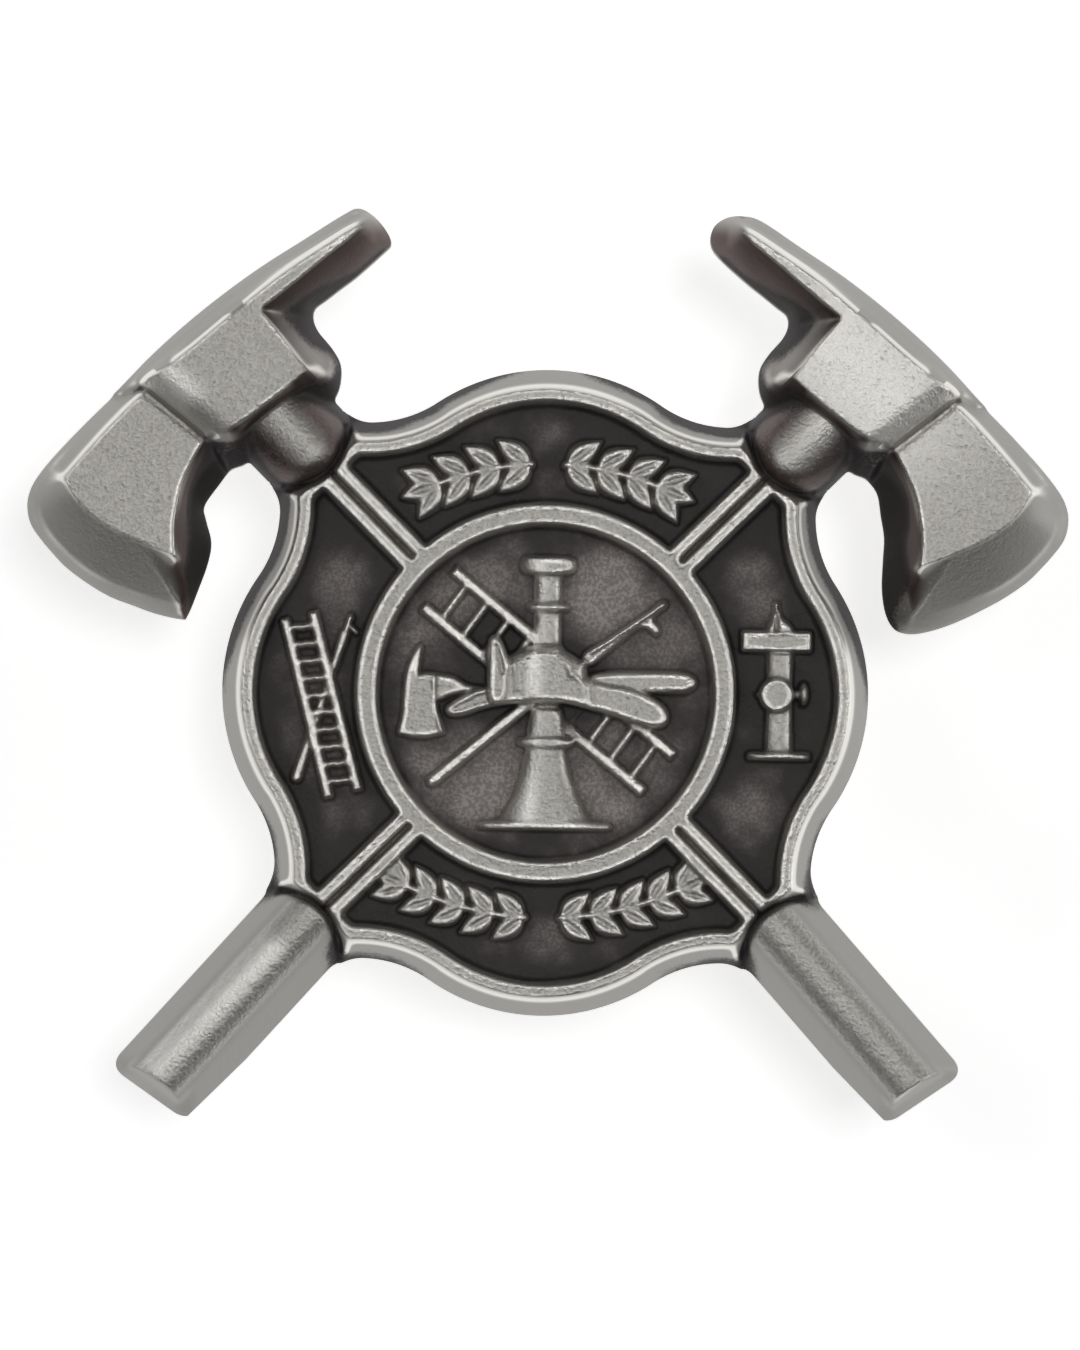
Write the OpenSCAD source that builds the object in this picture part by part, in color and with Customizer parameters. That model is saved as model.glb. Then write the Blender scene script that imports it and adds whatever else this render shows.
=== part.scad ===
// A fire service lapel pin: one casting of crossed axes behind a four-armed cross,
// with a nail soldered to its back, and the clutch that is pushed onto the nail.
// Millimetres. The pin lies face up on its clutch. The origin is on the nail's axis,
// in the clutch's resting face. +Z points out of the badge's face and +Y is its top.

/* [Cross] */
// From the centre to the end of each arm
arm_reach = 8.88; // [8.7:0.02:9.1]
// Radius of the bowed end of an arm
bow_r = 5.5; // [5.3:0.05:5.7]
// Radius of the scoop between an arm and the axes
scoop_r = 3.35; // [3.2:0.05:3.5]
// Sideways distance from the centre to the middle of a scoop
scoop_x = 4.95; // [4.85:0.05:5.05]
// Width of the sloping wall, seen from the front
draft_w = 0.76; // [0.6:0.02:0.8]
// Height of the upright edge round the back of the casting
edge_h = 0.35; // [0.2:0.05:0.6]
// Height of the rim above the back
rim_h = 2.0; // [1.9:0.05:2.2]
// Width of the rim's top
rim_w = 0.2; // [0.15:0.01:0.25]
// Height of the sunk fields above the back
field_h = 1.3; // [1.2:0.05:1.4]
// Outer radius of the ring in the middle
ring_r = 5.15; // [5.05:0.05:5.25]
// Width of the ring
ring_w = 0.49; // [0.4:0.01:0.6]
// Half the width of the groove between two spokes
groove_w = 0.17; // [0.12:0.01:0.2]
// Width of one spoke
spoke_w = 0.24; // [0.18:0.01:0.26]

/* [Axes] */
// Height of the cutting edge above the back
cutting_h = 1.0; // [0.8:0.05:1.2]
// Height of the blade's flat face
blade_h = 2.1; // [2:0.05:2.3]
// Height of the pick
pick_h = 2.6; // [2.5:0.05:2.7]
// Height of the head block
block_h = 2.95; // [2.85:0.05:3.1]
// Half the width of the haft at the back
haft_w = 1.33; // [1.25:0.01:1.4]
// Height of the haft's round top
haft_h = 2.2; // [2:0.05:2.3]
// Width of the sloping wall along the haft
haft_draft = 0.47; // [0.4:0.01:0.55]

/* [Relief] */
// Height of the ladders and poles
rod_top = 1.72; // [1.6:0.02:1.9]
// Height of the leaves along their middle
leaf_top = 1.85; // [1.7:0.05:1.95]
// Length of a leaf
leaf_len = 0.95; // [0.8:0.05:1]
// Width of a leaf
leaf_w = 0.46; // [0.4:0.02:0.5]
// Angle between a leaf and its spray
leaf_splay = 36; // [25:1:45]
// Radius of the bead between two sprays
bead_r = 0.42; // [0.35:0.01:0.5]
// Width of a ladder's rail
rail_w = 0.17; // [0.15:0.01:0.2]
// Width of a ladder's rung
rung_w = 0.12; // [0.1:0.01:0.15]

/* [Fastening] */
// Radius of the nail
nail_r = 0.55; // [0.5:0.05:0.6]
// Length of the nail behind the badge
nail_len = 8.0; // [7.5:0.1:8.5]
// Radius of the nail's soldered foot
foot_r = 2.25; // [2:0.05:2.5]
// Cloth that fits between the badge and the clutch
lapel_gap = 2.2; // [1.8:0.1:2.6]
// Radius of the clutch where it meets the cloth
clutch_r = 5.7; // [5:0.1:6]
// Height of the clutch
clutch_h = 6.0; // [5.8:0.1:6.2]

/* [Hidden] */

back_z = clutch_h + lapel_gap;          // the badge's back above the resting face
foot_h = 0.4;                           // thickness of the nail's foot
tip_len = 0.9;                          // the nail's pointed end
arm_y = arm_reach - bow_r;              // centre of an arm's bow
spread = asin(scoop_x / (bow_r + scoop_r));
scoop_y = arm_y + (bow_r + scoop_r) * cos(spread);
corner_run = 0.5;                       // the scoop runs this far past its middle
cap_reach = 8.24;                       // a field's cut corner, from the centre
spoke_reach = 8.5;                      // where the spokes and the rim's corners end
crevice_w = 0.3;                        // the dark gap between the cross and a haft
sunk = field_h - 0.3;                   // what stands on a field starts this low
strip_h = 1.45;                         // a haft's wall ends and its round top starts
end_wall = 0.4;                         // length of a haft's sloping end wall
neck_len = 2.4;                         // the haft between the cross and the head block
haft_len = 6.5;                         // the haft's lower end, clear of the cross
haft_lean = 3.3;                        // its turn away from the diagonal
haft_skew = 7;                          // the slant of its cut end
flatten = 0.5;                          // turned forms stand out this much of their radius

// An outline's point p, turned about the centre
function turn(p, a) = [p.x * cos(a) - p.y * sin(a), p.x * sin(a) + p.y * cos(a)];

// Half an arm of the cross, inset all round: a scoop that rolls into the bow
function half_arm(inset) = let (s = scoop_r + inset, first = asin(corner_run / s) - 90) [
    for (i = [0:5])
        let (a = first + (-90 - spread - first) * i / 5)
        [scoop_x + s * cos(a), scoop_y + s * sin(a)],
    for (i = [1:6])
        let (a = 90 - spread + spread * i / 6)
        [(bow_r - inset) * cos(a), arm_y + (bow_r - inset) * sin(a)],
];
function arm(inset) = let (half = half_arm(inset)) concat(half, [
    for (i = [len(half) - 2:-1:0]) [-half[i].x, half[i].y],
]);
function cross_outline(inset) = [for (k = [0:3]) for (p = arm(inset)) turn(p, 90 * k)];

// The outline at one height, as a ring of a skin
function ring_at(outline, h) = [for (p = outline) [p.x, p.y, h]];

// A closed skin over rings of equal count, each counterclockwise seen from the last
module skin(rings) {
    n = len(rings[0]);
    last = len(rings) - 1;
    walls = [
        for (k = [0:last - 1]) for (i = [0:n - 1])
            let (a = k * n + i, b = k * n + (i + 1) % n)
            each [[a, a + n, b + n], [a, b + n, b]],
    ];
    floor_face = [for (i = [0:n - 1]) i];
    top_face = [for (i = [n - 1:-1:0]) last * n + i];
    polyhedron([for (r = rings) each r], concat([floor_face], walls, [top_face]), convexity = 6);
}

// A cast block from a table: a row for each corner, a column for each height
module drafted(rows, heights) {
    skin([for (k = [0:len(heights) - 1]) ring_at([for (row = rows) row[k]], heights[k])]);
}

// The sunk field of the top arm, between rim, spokes and ring
module field_shape() {
    side = (groove_w + spoke_w) * sqrt(2);
    cut = cap_reach * sqrt(2);
    difference() {
        intersection() {
            polygon(cross_outline(draft_w + rim_w));
            polygon([
                [0, side], [(cut - side) / 2, (cut + side) / 2], [0, cut],
                [(side - cut) / 2, (cut + side) / 2],
            ]);
        }
        circle(ring_r, $fn = 96);
    }
}

// The four-armed cross with its rim, spokes and ring standing round sunk fields
module cross() {
    difference() {
        skin([
            ring_at(cross_outline(0), 0),
            ring_at(cross_outline(0), edge_h),
            ring_at(cross_outline(draft_w), rim_h),
        ]);
        translate([0, 0, field_h]) {
            cylinder(h = rim_h, r = ring_r - ring_w, $fn = 96);
            for (k = [0:3]) rotate(90 * k) linear_extrude(rim_h) field_shape();
            for (k = [0:3]) rotate(90 * k + 45) {
                translate([ring_r, -groove_w, 0]) cube([spoke_reach, 2 * groove_w, rim_h]);
                translate([spoke_reach, -2, 0]) cube([crevice_w, 4, rim_h]);
            }
        }
    }
}

// A haft with sloping walls and a round top, along +X from 0 to reach, where its end
// wall comes down to the edge. Both ends are turned by skew degrees
module haft(reach, skew) {
    inner = haft_w - haft_draft;
    crown = [
        for (a = [0:20:180]) [inner * cos(a), strip_h + (haft_h - strip_h) * sin(a)],
    ];
    section = concat([[-haft_w, 0], [haft_w, 0], [haft_w, edge_h]], crown, [[-haft_w, edge_h]]);
    // [u, greatest height]
    stations = [[0, haft_h], [reach - end_wall, haft_h], [reach, edge_h]];
    skin([
        for (s = stations) [
            for (p = section) [s[0] - p[0] * tan(skew), p[0], min(p[1], s[1])],
        ],
    ]);
}

// One axe head, the left one: blade, pick, block and the neck that joins it to the cross
module axe_head() {
    // Blade: [outline, cutting edge, flat face]
    blade = [
        [[-10.60, 9.45], [-10.40, 9.20], [-10.15, 8.90]],
        [[-12.00, 8.07], [-11.80, 7.85], [-11.50, 7.60]],
        [[-13.30, 6.68], [-13.05, 6.50], [-12.75, 6.35]],
        [[-14.00, 5.80], [-13.70, 5.70], [-13.10, 5.98]],
        [[-14.32, 5.03], [-13.97, 5.00], [-13.17, 5.80]],
        [[-14.00, 4.25], [-13.70, 4.42], [-12.95, 5.35]],
        [[-13.40, 3.47], [-13.20, 3.75], [-12.50, 4.90]],
        [[-12.50, 2.80], [-12.40, 3.13], [-11.90, 4.50]],
        [[-11.40, 2.25], [-11.30, 2.60], [-11.20, 4.12]],
        [[-10.30, 1.88], [-10.40, 2.30], [-10.60, 3.80]],
        [[-9.75, 1.92], [-10.00, 2.35], [-10.17, 3.55]],
        [[-9.43, 2.70], [-9.85, 2.90], [-10.14, 3.90]],
        [[-9.30, 3.70], [-9.80, 3.80], [-10.10, 4.40]],
        [[-9.35, 4.85], [-9.80, 4.80], [-10.00, 5.10]],
        [[-9.10, 5.65], [-9.50, 5.80], [-9.72, 6.10]],
        [[-8.50, 6.20], [-9.00, 6.60], [-9.30, 6.90]],
        [[-7.80, 6.90], [-8.10, 7.30], [-8.50, 7.60]],
    ];
    drafted([for (r = blade) [r[0], r[0], r[1], r[2]]], [0, edge_h, cutting_h, blade_h]);
    // Block: [outline, foot at the blade, shoulder, flat top]
    block = [
        [[-8.90, 10.93], [-8.65, 10.65], [-8.50, 10.50], [-8.45, 10.45]],
        [[-10.00, 10.03], [-9.70, 9.78], [-9.55, 9.66], [-9.45, 9.62]],
        [[-11.40, 8.65], [-11.08, 8.15], [-10.70, 8.55], [-10.40, 8.85]],
        [[-9.30, 6.40], [-9.42, 6.75], [-9.00, 7.20], [-8.75, 7.50]],
        [[-8.30, 6.50], [-8.50, 6.85], [-8.45, 7.00], [-8.40, 7.12]],
        [[-7.20, 7.40], [-7.60, 7.55], [-7.65, 7.60], [-7.70, 7.65]],
        [[-5.95, 8.00], [-6.60, 8.30], [-6.70, 8.35], [-6.75, 8.40]],
        [[-5.76, 8.75], [-6.30, 8.75], [-6.50, 8.72], [-6.58, 8.70]],
        [[-5.95, 9.40], [-6.60, 9.55], [-6.95, 9.45], [-7.08, 9.40]],
        [[-6.62, 10.30], [-7.40, 10.30], [-7.75, 10.30], [-7.85, 10.28]],
    ];
    drafted(
        [for (r = block) [r[0], r[0], r[1], r[2], r[3]]],
        [0, edge_h, blade_h, block_h - 0.2, block_h]
    );
    // Pick: [outline, narrow top]
    pick = [
        [[-7.60, 9.40], [-8.40, 9.90]],
        [[-6.60, 10.15], [-7.70, 10.40]],
        [[-6.35, 10.62], [-6.90, 11.00]],
        [[-5.40, 11.42], [-5.75, 11.85]],
        [[-4.60, 12.05], [-5.15, 12.40]],
        [[-4.40, 12.48], [-5.05, 12.55]],
        [[-4.72, 12.95], [-5.12, 12.70]],
        [[-5.25, 13.20], [-5.30, 12.75]],
        [[-5.90, 12.92], [-5.80, 12.45]],
        [[-7.00, 12.20], [-7.00, 11.62]],
        [[-9.00, 10.85], [-8.50, 10.45]],
    ];
    drafted([for (r = pick) [r[0], r[0], r[1]]], [0, edge_h, pick_h]);
    rotate(135) translate([spoke_reach + crevice_w, 0, 0]) haft(neck_len, 0);
}

// One haft end, the lower left one. It leans a little off the diagonal, and a low
// bridge under the crevice joins it to the cross
module haft_end() {
    start = spoke_reach + crevice_w;
    overlap = 0.3;
    rotate(225) translate([start, -0.07, 0]) rotate(haft_lean) haft(haft_len, haft_skew);
    rotate(225) translate([spoke_reach - overlap, -haft_w, 0])
        cube([crevice_w + 2 * overlap, 2 * haft_w, field_h]);
}

// A straight raised rod from a to b
module rod(a, b, w, top) {
    d = b - a;
    translate([a.x, a.y, sunk]) rotate(atan2(d.y, d.x))
        translate([0, -w / 2, 0]) cube([norm(d), w, top - sunk]);
}

// A ladder from its head to its foot, with its half widths there
module ladder(head, foot, head_w, foot_w, rungs, first) {
    d = foot - head;
    side = [-d.y, d.x] / norm(d);
    for (s = [-1, 1]) rod(head + s * head_w * side, foot + s * foot_w * side, rail_w, rod_top);
    for (i = [0:rungs - 1]) {
        t = first + (1 - first - 0.09) * i / (rungs - 1);
        w = head_w + (foot_w - head_w) * t;
        rod(head + t * d - w * side, head + t * d + w * side, rung_w, rod_top - 0.06);
    }
}

// A turned form lying on a field with its axis along Y: rows of [y, radius]
module turned(x, rows) {
    outline = [for (r = rows) [r[1], r[0]]];
    ends = [[0, rows[0][0]], [0, rows[len(rows) - 1][0]]];
    translate([x, 0, field_h]) scale([1, 1, flatten]) rotate([-90, 0, 0])
        rotate_extrude($fn = 24) polygon(concat([ends[0]], outline, [ends[1]]));
}

// A raised flat shape, standing on a field
module raised(points, top) {
    translate([0, 0, sunk]) linear_extrude(top - sunk) polygon(points);
}

// A pointed leaf with a ridge along its middle, growing from the origin along +X
module leaf(length, width) {
    hull() {
        translate([0, 0, sunk]) linear_extrude(field_h + 0.15 - sunk) polygon([
            for (i = [0:8]) [length * i / 8, width / 2 * sin(180 * pow(i / 8, 0.8))],
            for (i = [7:-1:1]) [length * i / 8, -width / 2 * sin(180 * pow(i / 8, 0.8))],
        ]);
        translate([0.12 * length, -0.02, sunk]) cube([0.7 * length, 0.04, leaf_top - sunk]);
    }
}

// Two laurel sprays that grow apart from a bead along an arc of radius r about [0, cy]:
// pairs of leaves, and one leaf at each end
module laurel(cy, r, first, step, pairs, facing) {
    for (side = [-1, 1]) for (i = [0:pairs]) {
        a = facing + side * (first + step * i);
        leaf_angles = i < pairs ? [-leaf_splay, leaf_splay] : [0];
        translate([r * cos(a), cy + r * sin(a), 0]) rotate(a + 90 * side)
            for (splay = leaf_angles) rotate(splay) leaf(leaf_len, leaf_w);
    }
    translate([0, cy + r * sin(facing), field_h]) scale([1, 1, 0.8]) sphere(bead_r, $fn = 16);
}

// The emblem in the ring: bugle, helmet, axe, ladder and pike pole
module emblem() {
    ladder([-2.9, 2.73], [3.15, -2.2], 0.69, 0.68, 9, 0.06);
    rod([-3.15, -2.5], [3.25, 2.5], 0.22, rod_top);
    rod([2.55, 2.0], [3.02, 1.72], 0.16, rod_top);
    // The small axe: head with its spike, then the haft with its swollen end
    raised([
        [-3.95, -1.12], [-2.8, -1.1], [-3.05, -0.3], [-3.0, 0.42], [-3.45, 0.5], [-3.42, 1.28],
        [-3.85, 0.6], [-3.88, 0],
    ], 1.85);
    raised([
        [-3.1, -0.2], [1.5, 0.32], [3.2, 0.08], [3.75, 0.02], [4.08, 0.18], [4.05, 0.45],
        [3.7, 0.58], [2, 0.6], [-3.1, 0.42],
    ], rod_top);
    // The bugle's flange, tube with a collar, and bell
    turned(0.02, [
        [-3.68, 1.79], [-3.5, 1.79], [-3.4, 1.35], [-3.17, 1.03], [-2.56, 0.75], [-1.95, 0.58],
        [-1.48, 0.48], [-1.45, 0.75], [-1.25, 0.75], [-1.22, 0.36], [-0.2, 0.36], [1.2, 0.6],
        [1.7, 0.38], [2.27, 0.38], [2.27, 0.53], [2.43, 0.53], [2.43, 0.35], [3.33, 0.38],
        [3.38, 0.7], [3.78, 0.7],
    ]);
    // The helmet's brim, crown and front shield
    raised([
        [-2.71, -0.45], [-2.45, -0.62], [-1.5, -0.42], [-0.5, -0.25], [0.5, -0.18], [1, -0.35],
        [2, -0.6], [2.8, -0.87], [3.22, -0.86], [3.37, -0.55], [3.15, -0.28], [2.6, 0],
        [1.9, 0.12], [1.18, 0.3], [-1.6, 0.32], [-2.3, -0.05],
    ], 1.95);
    translate([0.05, 0.1, field_h]) scale([1.2, 1.12, 0.95]) sphere(1, $fn = 24);
    raised([[-1.55, -0.2], [-1.05, -0.2], [-1, 0.9], [-1.25, 1.45], [-1.42, 1.5], [-1.55, 1.2]], 2.15);
}

// The left arm's ladder and pole, and the right arm's hydrant
module arm_reliefs() {
    ladder([-6.78, 2.05], [-5.53, -2.88], 0.38, 0.48, 10, 0.075);
    rod([-5.35, 2.05], [-6.87, -2.55], 0.18, rod_top - 0.08);
    rod([-5.4, 1.68], [-5.15, 1.52], 0.12, rod_top - 0.08);
    turned(6.3, [
        [-1.76, 0.82], [-1.53, 0.82], [-1.53, 0.32], [1.27, 0.3], [1.27, 0.9], [1.73, 0.9],
        [1.73, 0.34], [1.9, 0.32], [2.35, 0.12], [2.55, 0.12], [2.6, 0],
    ]);
    translate([6.3, 0.03, field_h]) scale([1, 1, 1.2]) cylinder(h = 0.5, r = 0.49, $fn = 32);
    translate([7.1, 0.12, field_h]) scale([1, 2.2, 1.6]) sphere(0.14, $fn = 12);
}

// The badge: one casting, and the nail soldered to its back
module badge() {
    color([0.55, 0.54, 0.52]) translate([0, 0, back_z]) union() {
        cross();
        for (s = [0, 1]) mirror([s, 0, 0]) {
            axe_head();
            haft_end();
        }
        emblem();
        arm_reliefs();
        laurel(-1.8, 8.05, 4.6, 5.6, 3, 90);
        laurel(2.6, 8.75, 4.4, 5.0, 4, 270);
        translate([0, 0, -foot_h]) cylinder(h = foot_h + 0.1, r = foot_r, $fn = 48);
        translate([0, 0, tip_len - nail_len]) cylinder(h = nail_len, r = nail_r, $fn = 24);
        translate([0, 0, -nail_len]) cylinder(h = tip_len, r1 = 0.12, r2 = nail_r, $fn = 24);
    }
}

// The clutch: one plain turned piece that grips the nail in a blind bore
module clutch() {
    play = 0.04;                         // round the nail
    bore_floor = 0.6;
    lip_h = 0.8;                         // the flange that meets the cloth
    foot_w = 3.9;                        // radius of the resting face
    waist_w = 4.1;
    round_w = 0.5;
    color([0.78, 0.68, 0.42]) difference() {
        rotate_extrude($fn = 96) union() {
            polygon([
                [0, 0], [foot_w - round_w, 0], [foot_w, round_w], [waist_w, clutch_h - lip_h - 0.9],
                [clutch_r - 0.4, clutch_h - lip_h], [clutch_r - 0.4, clutch_h], [0, clutch_h],
            ]);
            translate([foot_w - round_w, round_w]) circle(round_w, $fn = 32);
            translate([clutch_r - lip_h / 2, clutch_h - lip_h / 2]) circle(lip_h / 2, $fn = 32);
        }
        translate([0, 0, bore_floor]) cylinder(h = clutch_h, r = nail_r + play, $fn = 48);
    }
}

badge();
clutch();
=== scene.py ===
# %% [markdown]
# # A cast lapel pin
# The pin is one small pewter casting: a four-armed cross with tools in relief, laid over two
# crossed axes. It was dipped in a blackening bath and then rubbed on a polishing wheel, so the
# hollows stay black and the high places are bright. A nail is soldered to its back, and a round
# clutch is pushed onto the nail. The pin lies face up on its clutch.
#
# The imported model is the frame: it says where everything is, in metres. This script gives the
# casting its fine relief and every surface its finish.

# %% Load the frame
import math

import bmesh
import bpy
import numpy as np
from mathutils import Matrix, Vector
from mathutils.bvhtree import BVHTree
from mathutils.geometry import tessellate_polygon


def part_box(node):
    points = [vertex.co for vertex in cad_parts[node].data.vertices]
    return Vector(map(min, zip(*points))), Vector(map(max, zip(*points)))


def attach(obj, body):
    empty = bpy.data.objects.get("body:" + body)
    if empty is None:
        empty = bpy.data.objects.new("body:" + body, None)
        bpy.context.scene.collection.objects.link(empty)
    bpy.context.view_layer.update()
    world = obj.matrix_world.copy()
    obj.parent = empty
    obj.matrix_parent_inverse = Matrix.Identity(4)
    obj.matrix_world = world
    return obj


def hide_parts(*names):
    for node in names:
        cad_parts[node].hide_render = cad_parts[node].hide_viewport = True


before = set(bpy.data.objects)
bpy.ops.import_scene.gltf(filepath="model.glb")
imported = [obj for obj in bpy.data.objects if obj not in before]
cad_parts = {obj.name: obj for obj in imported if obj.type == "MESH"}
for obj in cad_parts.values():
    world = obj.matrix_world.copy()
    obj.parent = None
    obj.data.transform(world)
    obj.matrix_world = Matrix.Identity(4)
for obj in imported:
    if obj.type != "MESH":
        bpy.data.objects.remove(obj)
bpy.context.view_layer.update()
MM = 0.001
BLOCK_H = 2.95  # the head blocks are the badge's highest place, above its back
badge_low, badge_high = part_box("badge")
_, clutch_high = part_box("clutch")
BACK_Z = badge_high.z / MM - BLOCK_H
print(f"the badge's back is {BACK_Z:.2f} mm above the floor")

# %% [markdown]
# ## One height map for the whole casting
# A caster first makes a pattern: a base plate with small carved pieces stuck onto it. A rubber
# mould is then pressed over it all, and the metal fills that mould as one skin with soft corners.
# Separate meshes that poke into each other would show hard seams that no casting has. So this
# script works as the mould does. It describes the surface as a height above the back for every
# place (x, y), in millimetres, joins the forms with small fillets, and takes one skin off them.
# The first helpers are for shaping such heights.

# %% Shape heights
FAR = 2.6  # beyond this distance from an outline nothing depends on it
NOWHERE = -9.0  # the height where a form has no metal


def ramp(value, start, end):
    """0 before start, 1 after end, and an S curve between them."""
    t = np.clip((value - start) / (end - start), 0.0, 1.0)
    return t * t * (3.0 - 2.0 * t)


def soft_max(a, b, radius):
    """The higher of two surfaces, with a small fillet where they cross."""
    t = np.clip(0.5 + 0.5 * (a - b) / radius, 0.0, 1.0)
    return b + (a - b) * t + radius * t * (1.0 - t)


def soft_min(a, b, radius):
    """The lower of two surfaces, with a small round where they cross."""
    return -soft_max(-a, -b, radius)


def rounded(share):
    """A quarter round: 0 at the edge, 1 at the top."""
    inner = 1.0 - np.clip(share, 0.0, 1.0)
    return np.sqrt(np.clip(1.0 - inner * inner, 0.0, 1.0))


# %% Measure from outlines
def curve_through(points, steps=5):
    """A closed smooth outline through points. A point given twice in a row is a sharp corner."""
    p = np.array(points, float)
    before = np.roll(p, 1, 0)
    after = np.roll(p, -1, 0)
    beyond = np.roll(p, -2, 0)
    t = (np.arange(steps) / steps)[:, None, None]
    curve = p + 0.5 * (
        (after - before) * t
        + (2 * before - 5 * p + 4 * after - beyond) * t**2
        + (3 * p - before - 3 * after + beyond) * t**3
    )
    corner = np.linalg.norm(after - p, axis=1) < 1e-6
    curve = curve.transpose(1, 0, 2)[~corner]
    return curve.reshape(-1, 2)


def edge_distance(outline, x, y):
    """Distance from each place to a closed outline, negative inside it."""
    outline = np.asarray(outline, float)
    low = outline.min(0) - FAR
    high = outline.max(0) + FAR
    near = (x > low[0]) & (x < high[0]) & (y > low[1]) & (y < high[1])
    result = np.full(x.shape, FAR)
    px = x[near]
    py = y[near]
    nearest = np.full(px.shape, FAR * FAR)
    inside = np.zeros(px.shape, bool)
    for (ax, ay), (bx, by) in zip(outline, np.roll(outline, -1, 0)):
        ex = bx - ax
        ey = by - ay
        length = ex * ex + ey * ey
        if length < 1e-12:
            continue
        t = np.clip(((px - ax) * ex + (py - ay) * ey) / length, 0.0, 1.0)
        nearest = np.minimum(nearest, (px - ax - t * ex) ** 2 + (py - ay - t * ey) ** 2)
        if ay != by:
            inside ^= ((ay > py) != (by > py)) & (px < ex * (py - ay) / ey + ax)
    result[near] = np.where(inside, -1.0, 1.0) * np.sqrt(nearest)
    return result


def line_distance(a, b, x, y):
    """Distance from each place to the straight line between a and b, and the share along it."""
    ex = b[0] - a[0]
    ey = b[1] - a[1]
    t = np.clip(((x - a[0]) * ex + (y - a[1]) * ey) / (ex * ex + ey * ey), 0.0, 1.0)
    return np.hypot(x - a[0] - t * ex, y - a[1] - t * ey), t


def ridge(x, y, a, b, height, width=0.07):
    """A soft line from a to b, as high as given on it and fading to 0 on both sides."""
    distance, _ = line_distance(a, b, x, y)
    return height * np.exp(-((distance / width) ** 2))


# %% [markdown]
# ## The cross
# The cross has four equal arms. Each arm ends in a bow and is joined to its neighbours by scoops,
# so its outline is made of two arcs that touch, and folding the plane onto one half arm gives all
# eight. A wall slopes down all round, because a casting has to leave its mould. On top stand a
# thin rim, a ring and four pairs of spokes, and between them the fields are sunk. A short formula
# for each of them is more exact than any mesh modelled by hand, and it stays easy to read.

# %% The cross's outline
ARM_REACH = 8.88
BOW_R = 5.5
SCOOP_R = 3.35
SCOOP_X = 4.95
ARM_Y = ARM_REACH - BOW_R
SCOOP_Y = ARM_Y + math.sqrt((BOW_R + SCOOP_R) ** 2 - SCOOP_X**2)
CORNER_REACH = 9.09  # the cross ends here on its diagonals, under the hafts


def bows_and_scoops(x, y):
    """Distance to the cross's arcs, negative inside."""
    side = np.minimum(np.abs(x), np.abs(y))
    out = np.maximum(np.abs(x), np.abs(y))
    bow = np.hypot(side, out - ARM_Y) - BOW_R
    scoop = SCOOP_R - np.hypot(side - SCOOP_X, out - SCOOP_Y)
    in_bow = SCOOP_X * (out - ARM_Y) > (SCOOP_Y - ARM_Y) * side
    return np.where(in_bow, bow, scoop)


def diagonals(x, y):
    """How far along and beside the nearest diagonal each place is."""
    along = (np.abs(x) + np.abs(y)) / math.sqrt(2)
    beside = np.abs(np.abs(x) - np.abs(y)) / math.sqrt(2)
    return along, beside


def cross_edge(x, y):
    """Distance to the cross's outline, negative inside."""
    return np.maximum(bows_and_scoops(x, y), diagonals(x, y)[0] - CORNER_REACH)


# %% The roots of the hafts
ROOT_AT = 9.96  # centre of a haft's round root, on the diagonal
ROOT_R = 1.5  # radius of the crevice round it


def root_depth(x, y):
    """How far inside the crevice round a haft's root each place is."""
    along, beside = diagonals(x, y)
    return ROOT_R - np.hypot(np.minimum(along - ROOT_AT, 0.0), beside)


# %% The cross's heights
EDGE_H = 0.35  # the upright edge round the back
RIM_H = 2.0
FIELD_H = 1.3
ARM_DROP = 0.13  # the arms' fields lie this much lower than the ring's, so the wheel misses them
WALL_RUN = 0.6  # width of the sloping wall, seen from above
RIM_END = 0.9  # where the rim's top ends, from the outline
RING_IN = 4.63
RING_OUT = 5.14
GROOVE_W = 0.1  # half the groove between two spokes
SPOKE_END = 0.41  # a spoke's far side, from the diagonal
CAP_IN = 8.26  # the spokes' caps start here on the diagonal
SIDE_RUN = 0.13  # the inner walls of rim, ring and spokes slope this far
TOP_FILLET = 0.12  # the round between the outer wall and the rim
DISH = 0.04  # how far their tops sink between their edges


def land_edge(x, y):
    """Distance to the raised rim, ring, spokes and caps, negative on them."""
    along, beside = diagonals(x, y)
    radius = np.hypot(x, y)
    rim = -bows_and_scoops(x, y) - RIM_END
    spoke = np.maximum(beside - SPOKE_END, RING_IN + 0.2 - radius)
    land = soft_min(soft_min(rim, spoke, 0.08), CAP_IN - along, 0.1)
    groove = np.minimum(GROOVE_W - beside, radius - RING_IN)
    land = soft_max(soft_max(land, groove, 0.04), root_depth(x, y) + 0.07, 0.04)
    ring = np.maximum(RING_IN - radius, radius - RING_OUT)
    return np.minimum(land, ring)


def cross_height(x, y):
    """The cross without its tools: sloping wall, rim, ring, spokes and sunk fields."""
    inset = -cross_edge(x, y)
    wall = EDGE_H + (RIM_H + 0.1 - EDGE_H) * inset / WALL_RUN
    land = land_edge(x, y)
    top = RIM_H - DISH * ramp(-land, 0.02, 0.12)
    floor = FIELD_H - ARM_DROP * ramp(np.hypot(x, y), RING_IN, RING_OUT)
    inner = top + (floor - top) * ramp(land, 0.0, SIDE_RUN)
    return soft_min(wall, inner, TOP_FILLET)


# %% [markdown]
# ## The axes
# Each axe head is cut from a few planes: a blade with a flat face and a ground bevel, a high
# block that holds the haft, and a pick. Every one of them is a terrace between nested outlines,
# each with its own height. Between two outlines the height follows the share of the way from the
# outer to the inner one, which is a loft that needs no matching corners. The outlines are short
# lists of the points that a carver would mark, with a smooth curve through them, and a point
# given twice is a sharp corner. They are drawn for the left axe; the right one is its mirror
# image, with its own pick tip and heel, because the two patterns were finished by hand.

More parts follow.
